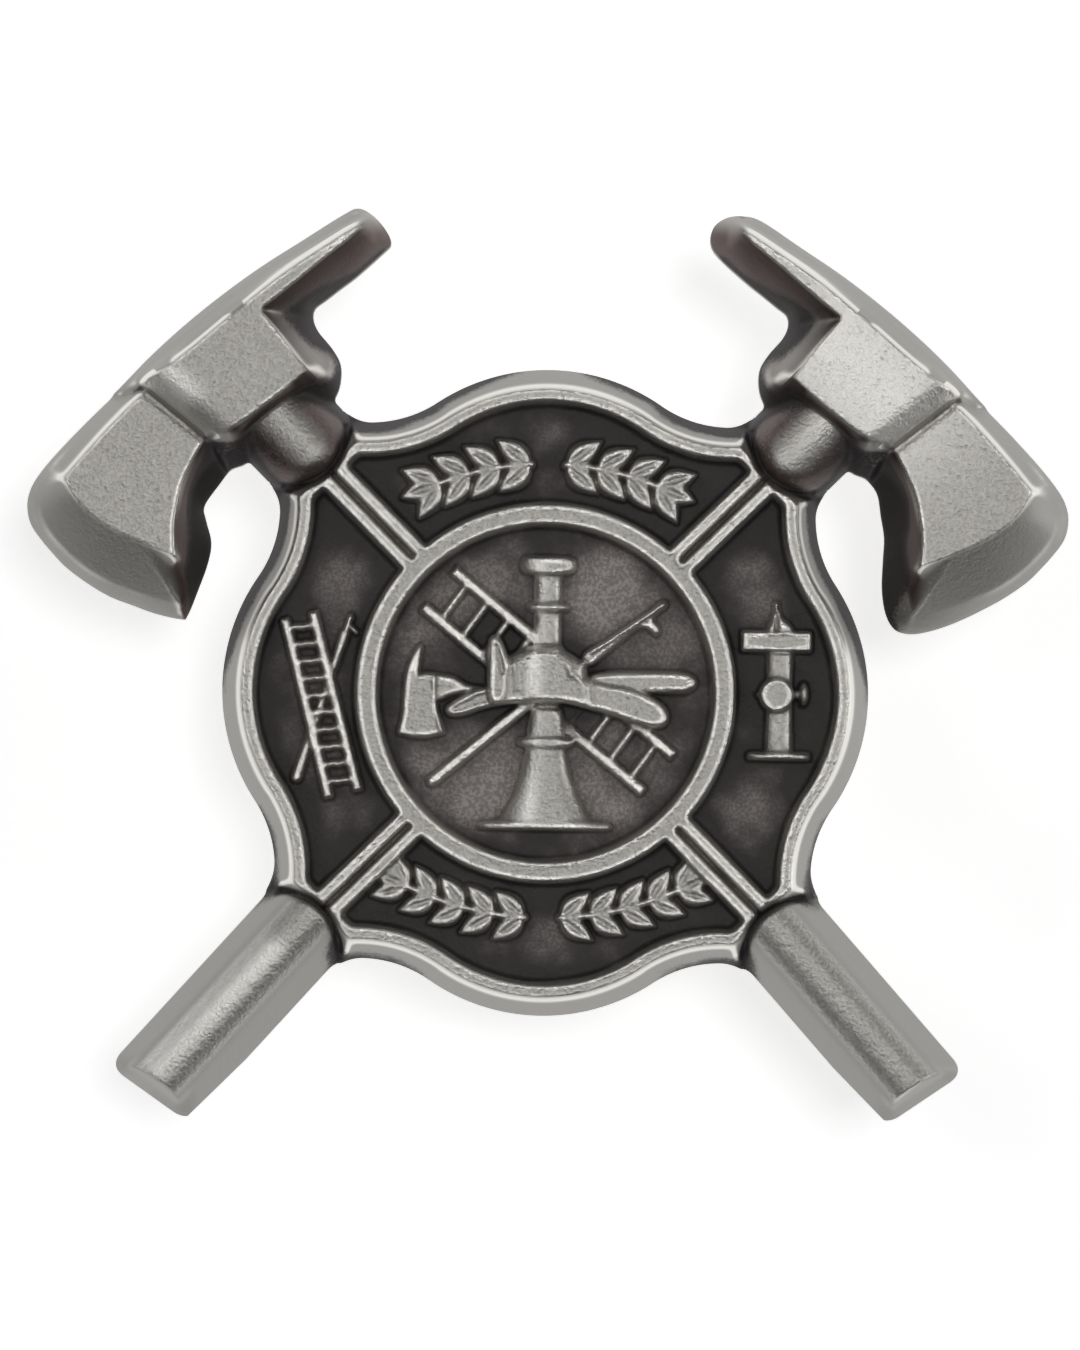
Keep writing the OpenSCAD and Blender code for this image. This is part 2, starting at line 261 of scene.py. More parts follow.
# %% Terraces between outlines
OUTSIDE_SLOPE = 3.0  # a form falls away this steeply outside its outline


def terrace(x, y, rings, heights, bulge=0.0):
    """The height of a form whose nested outlines lie at the given heights."""
    inside = [-edge_distance(ring, x, y) for ring in rings]
    height = heights[0] + OUTSIDE_SLOPE * np.minimum(inside[0], 0.0)
    for k in range(len(rings) - 1):
        gone = np.maximum(inside[k], 0.0)
        left = np.maximum(-inside[k + 1], 0.0)
        share = gone / (gone + left + 1e-6)
        share = share + bulge * share * (1.0 - share)
        height = height + (heights[k + 1] - heights[k]) * share
    return height


# %% The axe head's outlines
OUTER_SIDE = [
    (-5.76, 13.0), (-6.85, 12.29), (-7.95, 11.57), (-9.0, 10.79), (-10.0, 9.96), (-10.93, 9.09),
    (-11.81, 8.16), (-12.72, 7.25), (-13.6, 6.3), (-14.1, 5.65), (-14.29, 5.2), (-14.31, 4.8),
    (-14.2, 4.4), (-13.92, 4.0), (-13.57, 3.6), (-13.2, 3.23), (-12.6, 2.8), (-12.0, 2.46),
]
HEEL = {
    "left": [
        (-11.4, 2.24), (-10.8, 2.03), (-10.25, 1.9), (-9.93, 1.86), (-9.93, 1.86), (-9.79, 2.15),
        (-9.62, 2.6), (-9.34, 3.4), (-9.25, 4.0), (-9.4, 4.6), (-9.45, 5.0),
    ],
    "right": [
        (-11.4, 2.16), (-10.8, 1.92), (-10.2, 1.77), (-9.8, 1.79), (-9.53, 1.94), (-9.32, 2.35),
        (-9.22, 3.0), (-9.24, 3.8), (-9.26, 4.4), (-9.16, 5.0),
    ],
}
BAY_SIDE = [
    (-9.05, 5.6), (-8.75, 5.98), (-8.4, 6.13), (-8.1, 6.35), (-7.0, 7.2), (-6.1, 7.75), (-5.85, 8.1),
    (-5.74, 8.5), (-5.76, 8.95), (-5.98, 9.35), (-6.36, 9.8), (-6.52, 10.15), (-6.48, 10.45),
    (-6.2, 10.68), (-5.78, 11.01), (-5.33, 11.36),
]
PICK_TIP = {
    "left": [(-4.6, 12.03), (-4.42, 12.25), (-4.5, 12.53), (-4.84, 12.94), (-5.3, 13.2)],
    "right": [(-4.6, 12.01), (-4.36, 12.4), (-4.43, 12.83), (-4.78, 13.09), (-5.25, 13.14)],
}
# The line where the blade's edge band ends, and its flat face.
BAND_LINE = [
    (-10.28, 9.39), (-10.98, 8.74), (-11.88, 7.82), (-12.83, 6.84), (-13.65, 5.92), (-13.93, 5.0),
    (-13.73, 4.3), (-13.05, 3.55), (-12.3, 3.02), (-11.3, 2.6), (-10.5, 2.37), (-10.05, 2.3),
    (-10.05, 2.3), (-9.86, 3.3), (-9.78, 4.1), (-9.82, 4.9), (-9.7, 5.5), (-9.3, 6.1), (-8.6, 6.6),
    (-8.2, 7.3),
]
FACE_LINE = [
    (-10.0, 9.0), (-11.11, 8.0), (-11.9, 7.2), (-12.6, 6.42), (-13.22, 5.68), (-13.22, 5.68),
    (-12.93, 5.2), (-12.45, 4.72), (-11.8, 4.3), (-11.1, 3.98), (-10.65, 3.77), (-10.13, 3.55),
    (-10.13, 3.55), (-10.2, 4.3), (-10.1, 5.0), (-9.95, 5.6), (-9.72, 6.15), (-9.45, 6.68), (-9.0, 7.4),
]
# The foot of the block and the pick, their shoulder and their flat top.
FOOT_LINE = [
    (-5.1, 12.95), (-6.85, 11.95), (-7.95, 11.22), (-9.0, 10.4), (-10.0, 9.56), (-11.0, 8.62),
    (-11.2, 8.28), (-11.2, 8.28), (-9.5, 6.78), (-9.5, 6.78), (-8.6, 6.72), (-7.6, 7.5), (-6.75, 8.1),
    (-6.2, 8.4), (-6.1, 8.75), (-6.5, 9.4), (-7.0, 10.1), (-6.9, 10.4), (-6.0, 11.2), (-5.0, 12.0),
    (-4.8, 12.4),
]
SHOULDER_LINE = [
    (-5.25, 12.72), (-6.2, 12.12), (-7.4, 11.3), (-8.6, 10.32), (-9.8, 9.3), (-10.8, 8.5),
    (-11.05, 8.22), (-10.95, 8.12), (-9.55, 6.95), (-8.9, 6.92), (-8.55, 6.95), (-7.6, 7.68),
    (-6.6, 8.5), (-6.5, 8.68), (-6.56, 8.82), (-7.24, 9.65), (-7.79, 10.28), (-7.79, 10.28),
    (-6.9, 10.96), (-5.95, 11.75), (-5.15, 12.4), (-5.07, 12.6),
]
TOP_LINE = [
    (-5.35, 12.6), (-6.2, 12.05), (-7.4, 11.22), (-8.6, 10.24), (-9.75, 9.25), (-10.5, 8.63),
    (-10.85, 8.25), (-10.8, 8.12), (-9.45, 7.06), (-8.85, 7.08), (-8.5, 7.18), (-7.6, 7.82),
    (-6.72, 8.55), (-6.65, 8.68), (-6.7, 8.8), (-7.3, 9.6), (-7.86, 10.3), (-7.86, 10.3), (-7.0, 11.03),
    (-6.05, 11.83), (-5.3, 12.42), (-5.22, 12.54),
]

# %% The axe head
BLADE_EDGE = 0.95  # height of the cutting edge
BLADE_H = 2.1
SIDE_H = 0.95  # the block's upright side ends and its wall starts to lean at this height
WALL_FOOT_H = 1.85  # height of the block and the pick along FOOT_LINE
SHOULDER_H = 2.72
CREVICE = (-11.1, 8.1), (-9.42, 6.77)  # the dark line between blade and block
ROLL_H = 1.75  # the block rolls over to this height at the crevice
ROLL_RUN = 0.95
ROLL_ENDS = -10.2  # the roll ends here, in x, so the head's outer wall stays whole
HEAD_LINES = BAND_LINE, FACE_LINE, FOOT_LINE, SHOULDER_LINE, TOP_LINE


def head_outline(side):
    """The outline of the whole head."""
    return curve_through(OUTER_SIDE + HEEL[side] + BAY_SIDE + PICK_TIP[side])


def axe_head(x, y, side):
    """Blade, block and pick of the left axe, with the dark line between blade and block."""
    outline = head_outline(side)
    band, face, foot, shoulder, top = (curve_through(line) for line in HEAD_LINES)
    blade = terrace(x, y, (outline, band, face), (EDGE_H, BLADE_EDGE, BLADE_H), 0.1)
    heights = (SIDE_H, WALL_FOOT_H, SHOULDER_H, BLOCK_H)
    block = terrace(x, y, (outline, foot, shoulder, top), heights, 0.2)
    (ax, ay), (bx, by) = CREVICE
    beyond = ((x - ax) * (ay - by) + (y - ay) * (bx - ax)) / math.hypot(bx - ax, by - ay)
    roll = ROLL_H + 4.0 * np.minimum(beyond, 0.0) + (BLOCK_H - ROLL_H) * rounded(beyond / ROLL_RUN)
    on_wall = ramp(-edge_distance(outline, x, y), 0.55, 0.25) * (x < ROLL_ENDS)
    head = soft_max(blade, soft_min(block, roll + 1.5 * on_wall, 0.05), 0.06)
    return head + ridge(x, y, *CREVICE, -0.08, 0.1)


# %% [markdown]
# ## Necks and haft ends
# The hafts run behind the cross. Above it a short neck enters each head, and below it a longer
# end comes out. Both have the same section: a sloping wall on either side and a round barrel
# between. They are written in the haft's own directions, along it and across it, so the same
# few lines serve all four, and the lower ones lean a little and are cut off on a slant.

# %% The haft's section
HAFT_W = 1.33  # half the width at the back
HAFT_H = 2.06
STRIP_H = 1.42  # the side walls end and the barrel starts at this height
HAFT_LEN = {"left": 6.72, "right": 6.5}  # from START to the cut end
START = 8.8
HAFT_LEAN = math.radians(3.3)
HAFT_ASIDE = -0.07  # the lower hafts' middle lines pass this far beside the cross's middle
HAFT_SKEW = math.tan(math.radians(7))
CUT_ROUND = 0.52  # radius of the corners of the cut end
CUT_RUN = 0.42  # the barrel ends this far before the cut end
CUT_SLOPE = 4.0
BARREL_W = 0.84  # half the barrel's width
BARREL_SHIFT = {"left": -0.06, "right": 0.0}  # the left barrel sits off its haft's middle


def haft_axes(x, y, angle, lean=0.0, shift=0.0):
    """Places in the haft's own directions: along it from its start, and across it."""
    dx = x - START * math.cos(angle) + shift * math.sin(angle)
    dy = y - START * math.sin(angle) - shift * math.cos(angle)
    a = angle + lean
    return dx * math.cos(a) + dy * math.sin(a), dy * math.cos(a) - dx * math.sin(a)


def round_top(across, half, low, high):
    """A barrel's section between two heights, a little fuller than a parabola."""
    t = np.abs(across) / half
    return np.where(t < 1.0, low + (high - low) * (1.0 - t**2.6), NOWHERE)


def lower_haft(x, y, side):
    """The lower left haft end: its outline distance and its height."""
    along, across = haft_axes(x, y, math.radians(225), HAFT_LEAN, HAFT_ASIDE)
    to_cut = HAFT_LEN[side] - along - across * HAFT_SKEW
    end = -to_cut / math.hypot(1, HAFT_SKEW)
    edge = np.maximum(soft_max(np.abs(across) - HAFT_W, end, CUT_ROUND), -0.5 - along)
    barrel = round_top(across - BARREL_SHIFT[side], BARREL_W, STRIP_H, HAFT_H)
    barrel = soft_min(barrel, STRIP_H + (to_cut - CUT_RUN) * CUT_SLOPE, 0.1)
    wall_run = HAFT_W - BARREL_W - np.sign(across) * BARREL_SHIFT[side]
    wall = np.minimum(EDGE_H + (STRIP_H - EDGE_H) * -edge / wall_run, STRIP_H)
    root = 1.25 + 3.0 * np.sqrt(np.clip(root_depth(x, y), 0.0, None))
    return edge, soft_min(soft_max(wall, barrel, 0.06), root, 0.15)


NECK_W = 1.42
NECK_H = 2.3
NECK_LEN = 2.4


def neck(x, y):
    """The left head's neck: its outline distance and its height, a barrel with a round end."""
    along, across = haft_axes(x, y, math.radians(135))
    side = NECK_W - np.abs(across)
    edge = np.maximum(-side, np.maximum(-0.5 - along, along - NECK_LEN))
    barrel = (NECK_H - EDGE_H) * rounded(side / NECK_W) * rounded(0.35 + root_depth(x, y) / 0.9)
    return edge, np.where((side > 0.0) & (along < NECK_LEN), EDGE_H + barrel, NOWHERE)


# %% [markdown]
# ## Tools in relief
# The tools are the small pieces that the pattern maker sticks onto the fields. A turned form,
# such as the bugle or the hydrant, is half a lathe profile laid on its side. A flat form, such
# as the helmet's brim, is a plate with a rounded edge. A pole is a rod. Each is a few lines on
# the height map, and the map joins it to the field with a fillet, as the mould does.

# %% Relief helpers
FULLER = 0.05  # every tool spreads this far past the line round its top
FOOT = FIELD_H - 0.1  # the rounded side of a tool starts at this height, a little under the field


def swelling(top, share):
    """The height of a rounded side that rises from under the field to the tool's top."""
    return FOOT + (top - FOOT) * rounded(share)


def carved(body, line):
    """A tool with lines raised or cut on it, where it stands above the field."""
    return body + np.where(body > FIELD_H, line, 0.0)


def turned(x, y, middle, rows, rise):
    """Half a turned form on the field: rows of (y, radius), and how high its widest part is."""
    table = np.array(sorted(rows))
    radius = np.interp(y, table[:, 0], table[:, 1] + FULLER, left=0.0, right=0.0)
    across = np.clip(np.abs(x - middle) / np.maximum(radius, 1e-6), 0.0, 1.0)
    tall = rise * np.minimum(0.35 + radius, 1.0)
    height = FIELD_H + tall * np.sqrt(1.0 - across**3.4)
    return np.where(radius > 0.01, np.where(across < 1.0, height, FIELD_H - 0.2), NOWHERE)


def plate(x, y, points, top, shoulder, dish=0.0):
    """A flat form with a rounded edge, sunk a little between its edges if it has a dish."""
    inside = FULLER - edge_distance(curve_through(points), x, y)
    body = swelling(top, inside / shoulder) - dish * ramp(inside, shoulder * 0.6, shoulder * 2.2)
    return np.where(inside > 0.0, body, NOWHERE)


def rod(x, y, a, b, width, top, width_end=None):
    """A rod from a to b with rounded sides, whose width may change on the way."""
    distance, share = line_distance(a, b, x, y)
    half = 0.5 * (width + ((width_end or width) - width) * share)
    return np.where(distance < half, swelling(top, (half - distance) / 0.07), NOWHERE)


def bead(x, y, centre, radius, top, stretch=1.0):
    """A low round boss."""
    distance = np.hypot((x - centre[0]) * stretch, y - centre[1])
    return np.where(distance < radius, swelling(top, 1.0 - distance / radius), NOWHERE)


def heap(forms, radius=0.05):
    """All forms laid over each other, with small fillets."""
    result = forms[0]
    for form in forms[1:]:
        result = soft_max(result, form, radius)
    return result


# %% The emblem in the ring
BUGLE_X = 0.04
BUGLE = [
    (-3.75, 1.7), (-3.73, 1.8), (-3.62, 1.83), (-3.54, 1.76), (-3.5, 1.24), (-3.28, 1.1),
    (-2.8, 0.86), (-2.2, 0.65), (-1.56, 0.52), (-1.48, 0.56), (-1.45, 0.72), (-1.35, 0.78),
    (-1.25, 0.72), (-1.21, 0.5), (-0.45, 0.4), (0.3, 0.37), (1.7, 0.35), (2.2, 0.33), (2.25, 0.5),
    (2.34, 0.57), (2.43, 0.5), (2.48, 0.34), (3.22, 0.34), (3.26, 0.6), (3.32, 0.71), (3.5, 0.76),
    (3.68, 0.71), (3.75, 0.5),
]
CROWN = [
    (-1.4, -0.1), (-1.35, 0.5), (-1.15, 0.9), (-0.85, 1.08), (-0.62, 1.2), (-0.31, 1.3),
    (0.34, 1.31), (0.52, 1.16), (0.74, 1.03), (0.92, 0.92), (1.07, 0.86), (1.12, 0.68), (1.16, 0.45),
    (1.36, 0.3), (1.3, -0.7), (0.48, -0.9), (-0.5, -0.9), (-1.3, -0.8),
]
BRIM = [
    (-2.69, -0.46), (-2.58, -0.34), (-2.38, -0.2), (-2.07, -0.03), (-1.83, 0.08), (-1.4, 0.16),
    (0.0, 0.5), (1.1, 0.36), (1.59, 0.25), (2.05, 0.18), (2.36, 0.11), (2.73, -0.02), (3.04, -0.17),
    (3.26, -0.36), (3.35, -0.57), (3.31, -0.77), (3.14, -0.88), (2.86, -0.88), (2.55, -0.79),
    (2.18, -0.68), (1.75, -0.54), (1.13, -0.38), (0.48, -0.24), (-0.22, -0.22), (-0.84, -0.28),
    (-1.27, -0.34), (-1.76, -0.46), (-2.13, -0.59), (-2.44, -0.65), (-2.64, -0.6),
]
SHIELD = [
    (-1.42, -0.31), (-1.54, -0.08), (-1.56, 0.4), (-1.55, 1.28), (-1.49, 1.49), (-1.38, 1.53),
    (-1.24, 1.42), (-1.12, 1.15), (-0.99, 0.78), (-1.03, 0.45), (-1.04, 0.05), (-1.17, -0.26),
]
SMALL_HEAD = [
    (-3.43, 1.26), (-3.43, 1.26), (-3.52, 1.16), (-3.67, 0.88), (-3.8, 0.5), (-3.86, -0.1),
    (-3.89, -0.66), (-3.97, -0.98), (-3.99, -1.16), (-3.99, -1.16), (-3.6, -1.24), (-3.2, -1.24),
    (-2.76, -1.13), (-2.76, -1.13), (-2.87, -0.78), (-2.95, -0.5), (-3.0, -0.1), (-3.01, 0.48),
    (-3.01, 0.48), (-3.3, 0.48), (-3.48, 0.42), (-3.48, 0.42), (-3.44, 0.75), (-3.38, 1.2),
    (-3.38, 1.2),
]
SMALL_HAFT = [
    (-3.1, 0.4), (-2.6, 0.42), (-2.38, 0.32), (-2.07, 0.17), (-1.6, 0.12), (-1.6, -0.05),
    (-2.1, 0.0), (-2.54, -0.08), (-3.1, -0.25),
]
HAFT_CLUB = [
    (1.2, 0.46), (1.6, 0.56), (2.0, 0.6), (3.0, 0.62), (3.75, 0.6), (4.06, 0.47), (4.12, 0.3),
    (3.98, 0.13), (3.74, 0.07), (3.07, 0.06), (2.5, 0.05), (1.2, 0.1),
]
PIKE_HEAD = [
    (1.0, 0.78), (1.04, 1.05), (1.25, 1.22), (1.69, 1.47), (2.02, 1.71), (2.29, 1.9), (2.56, 2.09),
    (2.84, 2.28), (3.0, 2.42), (3.12, 2.52), (3.25, 2.53), (3.28, 2.43), (3.14, 2.32), (2.92, 2.12),
    (2.92, 2.0), (3.07, 1.85), (3.09, 1.7), (2.99, 1.64), (2.88, 1.72), (2.75, 1.81), (2.56, 1.82),
    (2.37, 1.73), (2.13, 1.51), (1.85, 1.29), (1.53, 1.02), (1.25, 0.8),
]


def helmet(x, y):
    """The crown with its ribs and scrolls, the front shield, and the brim all along."""
    crown = plate(x, y, CROWN, 2.22, 0.34)
    lines = [((-0.86, 0.75), (-0.76, 0.1)), ((-0.6, 0.62), (-0.55, 0.05)), ((-0.4, 0.55), (-0.36, 0.0))]
    lines += [((0.58, 0.84), (0.69, 0.54)), ((0.69, 0.54), (1.05, 0.3))]
    crown = carved(crown, sum(ridge(x, y, a, b, 0.045) for a, b in lines))
    crown = np.where(y < 0.1, soft_min(crown, plate(x, y, BRIM, 2.26, 0.12), 0.04), crown)
    brim = plate(x, y, BRIM, 2.02, 0.12, np.where(x < -1.5, 0.07, 0.012))
    shield = plate(x, y, SHIELD, 2.36, 0.12, 0.03)
    shield = carved(shield, ridge(x, y, (-1.33, 1.25), (-1.16, 0.55), -0.09, 0.05))
    scrolls = [
        (-0.5, 1.0, 0.17), (-0.34, 1.12, 0.14), (-0.62, 0.83, 0.12), (-0.78, 0.56, 0.08),
        (1.02, 0.82, 0.11), (0.83, 0.64, 0.08), (-0.84, -0.13, 0.13), (-0.3, -0.12, 0.09),
        (-0.07, -0.13, 0.09), (0.55, -0.18, 0.1),
    ]
    beads = [bead(x, y, (u, v), r, 2.3 if v > 0 else 2.16) for u, v, r in scrolls]
    return heap([heap([crown, brim, shield], 0.14)] + beads, 0.06)


def emblem(x, y):
    """Bugle, helmet, small axe and pike pole. The ladder is pressed in later."""
    pole = rod(x, y, (-3.04, -2.44), (0.0, 0.09), 0.36, 1.76)
    spine = ridge(x, y, (1.25, 1.16), (3.2, 2.46), 0.09)
    pike = carved(plate(x, y, PIKE_HEAD, 1.72, 0.08), spine)
    cheek = ridge(x, y, (-3.02, 0.4), (-2.84, -1.05), 0.09, 0.06)
    head = carved(plate(x, y, SMALL_HEAD, 1.84, 0.08, 0.02), cheek)
    haft = plate(x, y, SMALL_HAFT, 1.74, 0.1)
    club = plate(x, y, HAFT_CLUB, 1.82, 0.12)
    knob = bead(x, y, (3.88, 0.34), 0.17, 1.86)
    shade = ridge(x, y, (-0.6, -0.36), (0.5, -0.38), -0.12, 0.06)
    bugle = carved(turned(x, y, BUGLE_X, BUGLE, 0.6), shade)
    tools = heap([pole, pike, haft, club, knob, head], 0.03)
    return soft_max(soft_max(tools, bugle, 0.05), helmet(x, y), 0.14)


# %% The tools on the side arms
HYDRANT = [
    (-1.76, 0.8), (-1.74, 0.84), (-1.56, 0.84), (-1.53, 0.8), (-1.52, 0.34), (-0.6, 0.33),
    (0.6, 0.32), (1.18, 0.32), (1.2, 0.4),
]
BONNET = [
    (6.1, 1.72), (6.06, 1.86), (6.2, 2.12), (6.22, 2.38), (6.34, 2.38), (6.42, 2.15), (6.7, 1.9),
    (6.68, 1.72),
]
BAR = [(5.37, 1.25), (5.37, 1.75), (7.23, 1.75), (7.23, 1.25)]


def side_tools(x, y):
    """The hydrant on the right arm, and the pole behind the left arm's ladder."""
    bar = [corner for corner in BAR for _ in range(2)]
    groove = ridge(x, y, (6.28, 1.8), (6.28, 2.25), -0.3, 0.045)
    outlet = np.hypot(x - 6.31, y - 0.04)
    disc = FIELD_H + (0.72 - 0.03 * ramp(0.4 - outlet, 0.0, 0.1)) * rounded((0.48 - outlet) / 0.06)
    disc = np.where(outlet < 0.48, disc, NOWHERE)
    parts = [
        turned(x, y, 6.4, HYDRANT, 0.6),
        plate(x, y, bar, 1.84, 0.07, 0.05),
        carved(plate(x, y, BONNET, 1.78, 0.12), groove),
        bead(x, y, (6.27, 2.5), 0.12, 1.7),
        rod(x, y, (5.8, 0.04), (6.1, 0.04), 0.12, 1.9),
        rod(x, y, (6.7, 0.06), (7.05, 0.06), 0.3, 1.5),
        bead(x, y, (7.07, 0.07), 0.36, 1.72, 2.4),
        disc,
        rod(x, y, (-5.35, 2.0), (-5.8, 0.6), 0.2, 1.66),
        rod(x, y, (-5.5, 1.55), (-5.8, 0.6), 0.3, 1.66, 0.24),
        rod(x, y, (-5.8, 0.6), (-6.76, -2.4), 0.23, 1.66, 0.31),
        rod(x, y, (-5.38, 1.76), (-5.18, 1.57), 0.16, 1.62),
    ]
    return heap(parts, 0.03)


# %% [markdown]
# ## Ladders and laurels with Geometry Nodes
# A ladder repeats its rungs between two rails, and a laurel spray repeats its leaves along an
# arc. Both are rules, so a Geometry Nodes tree makes each of them from named sizes. Other ways
# would be an Array modifier, which can't narrow a ladder towards its head, or placing every leaf
# by hand. The trees' results are patterns only: they are pressed into the height map from
# above and are never shown themselves.

# %% Tree helpers
def fill(tree, node, inputs):
    """Sets a node's inputs, or links them."""
    for key, value in inputs.items():
        if isinstance(value, bpy.types.NodeSocket):
            tree.links.new(value, node.inputs[key])
        else:
            node.inputs[key].default_value = value


def add_node(tree, kind, inputs=None, **settings):
    """A new node with these settings and inputs."""
    node = tree.nodes.new(kind)
    for name, value in settings.items():
        setattr(node, name, value)
    fill(tree, node, inputs or {})
    return node


def maths(tree, operation, first, second=0.0):
    """The result of one sum in a tree."""
    return add_node(tree, "ShaderNodeMath", {0: first, 1: second}, operation=operation).outputs[0]


def minus(tree, value):
    """The value with its sign turned."""
    return maths(tree, "MULTIPLY", value, -1.0)


def vector(tree, x=0.0, y=0.0, z=0.0):
    """Three numbers joined into a vector."""
    return add_node(tree, "ShaderNodeCombineXYZ", {0: x, 1: y, 2: z}).outputs[0]


def swept(tree, curve, section):
    """A section swept along a curve, with closed ends."""
    inputs = {"Curve": curve.outputs[0], "Profile Curve": section.outputs[0], "Fill Caps": True}
    return add_node(tree, "GeometryNodeCurveToMesh", inputs).outputs[0]


def on_points(tree, points, pattern, **more):
    """The pattern on every point."""
    inputs = {"Points": points, "Instance": pattern, **more}
    return add_node(tree, "GeometryNodeInstanceOnPoints", inputs).outputs[0]


def new_tree(name, sizes):
    """A Geometry Nodes tree with one named input for each size."""
    tree = bpy.data.node_groups.new(name, "GeometryNodeTree")
    tree.interface.new_socket("Geometry", in_out="OUTPUT", socket_type="NodeSocketGeometry")
    for label, value in sizes.items():
        kind = "NodeSocketInt" if isinstance(value, int) else "NodeSocketFloat"
        tree.interface.new_socket(label, in_out="INPUT", socket_type=kind).default_value = value
    return tree, tree.nodes.new("NodeGroupInput").outputs


def end_tree(tree, geometry, material):
    """Every tree ends in Realize Instances and Set Material."""
    real = add_node(tree, "GeometryNodeRealizeInstances", {"Geometry": geometry})
    inputs = {"Geometry": real.outputs[0], "Material": material}
    dressed = add_node(tree, "GeometryNodeSetMaterial", inputs)
    tree.links.new(dressed.outputs[0], tree.nodes.new("NodeGroupOutput").inputs[0])


def new_object(name, data):
    """An object in the scene that holds this mesh, lamp or camera."""
    made = bpy.data.objects.new(name, data)
    bpy.context.scene.collection.objects.link(made)
    return made


def run_tree(tree, sizes):
    """Runs a tree with these sizes and returns its result as a plain mesh in millimetres."""
    holder = new_object("pattern", bpy.data.meshes.new("pattern"))
    modifier = holder.modifiers.new("pattern", "NODES")
    modifier.node_group = tree
    for item in tree.interface.items_tree:
        if item.in_out == "INPUT" and item.name in sizes:
            modifier[item.identifier] = sizes[item.name]
    graph = bpy.context.evaluated_depsgraph_get()
    mesh = bpy.data.meshes.new_from_object(holder.evaluated_get(graph))
    bpy.data.objects.remove(holder)
    return mesh


pattern_wax = bpy.data.materials.new("pattern_wax")

# %% The ladder tree
LADDER_SIZES = {
    "Length": 5.0, "Head width": 0.8, "Foot width": 1.0, "Rungs": 10, "First rung": 0.4,
    "Last rung": 4.6, "Rail": 0.2, "Rung": 0.12, "Slant": 0.0,
}


def ladder_tree():
    """Two rails and evenly spaced rungs. The head is at the origin, the foot towards -Y."""
    tree, size = new_tree("Ladder", LADDER_SIZES)
    rail_section = add_node(
        tree, "GeometryNodeCurvePrimitiveQuadrilateral", {"Width": size["Rail"], "Height": size["Rail"]}
    )
    parts = add_node(tree, "GeometryNodeJoinGeometry")
    for side in (-0.5, 0.5):
        head = vector(tree, maths(tree, "MULTIPLY", size["Head width"], side))
        foot = vector(tree, maths(tree, "MULTIPLY", size["Foot width"], side), minus(tree, size["Length"]))
        line = add_node(tree, "GeometryNodeCurvePrimitiveLine", {"Start": head, "End": foot})
        tree.links.new(swept(tree, line, rail_section), parts.inputs[0])
    gaps = maths(tree, "SUBTRACT", size["Rungs"], 1.0)
    run = maths(tree, "SUBTRACT", size["Last rung"], size["First rung"])
    places = add_node(
        tree, "GeometryNodeMeshLine",
        {
            "Count": size["Rungs"],
            "Start Location": vector(tree, 0.0, minus(tree, size["First rung"])),
            "Offset": vector(tree, 0.0, maths(tree, "DIVIDE", minus(tree, run), gaps)),
        },
    )
    position = add_node(tree, "GeometryNodeInputPosition")
    down = add_node(tree, "ShaderNodeSeparateXYZ", {0: position.outputs[0]}).outputs[1]
    share = maths(tree, "DIVIDE", down, minus(tree, size["Length"]))
    widening = maths(tree, "SUBTRACT", size["Foot width"], size["Head width"])
    width = maths(tree, "ADD", size["Head width"], maths(tree, "MULTIPLY", share, widening))
    rung = add_node(tree, "GeometryNodeMeshCube", {"Size": vector(tree, size["Rung"], size["Rung"], 1.0)})
    turn = add_node(
        tree, "FunctionNodeEulerToRotation", {0: vector(tree, 0.0, math.pi / 2, size["Slant"])}
    )
    scale = vector(tree, 1.0, 1.0, width)
    place = {"Rotation": turn.outputs[0], "Scale": scale}
    tree.links.new(on_points(tree, places.outputs[0], rung.outputs[0], **place), parts.inputs[0])
    end_tree(tree, parts.outputs[0], pattern_wax)
    return tree


def ladder(tree, head, foot, sizes, top):
    """A ladder between two places on the field, with its top at the given height."""
    run = Vector(foot) - Vector(head)
    sizes = dict(sizes, Length=run.length)
    mesh = run_tree(tree, sizes)
    turn = Matrix.Rotation(math.atan2(run.x, -run.y), 4, "Z")
    mesh.transform(Matrix.Translation((head[0], head[1], top - sizes["Rail"] / 2)) @ turn)
    return mesh


ladders = ladder_tree()
arm_ladder = ladder(
    ladders, (-6.77, 2.04), (-5.47, -2.87),
    {"Head width": 0.79, "Foot width": 0.83, "Rungs": 10, "First rung": 0.34, "Last rung": 4.67,
     "Rail": 0.28, "Rung": 0.19, "Slant": -0.16},
    1.78,
)
ring_ladder = ladder(
    ladders, (-2.97, 2.82), (3.14, -2.18),
    {"Head width": 1.29, "Foot width": 1.29, "Rungs": 10, "First rung": 0.58, "Last rung": 7.33,
     "Rail": 0.31, "Rung": 0.2, "Slant": 0.06},
    1.76,
)
print("the ladders' patterns have", len(arm_ladder.vertices) + len(ring_ladder.vertices), "points")

# %% The laurel tree
LAUREL_SIZES = {"Arc": 8.0, "First": 0.1, "Sweep": 0.5, "Pairs": 5, "Splay": 0.6, "Leaf": 1.0}


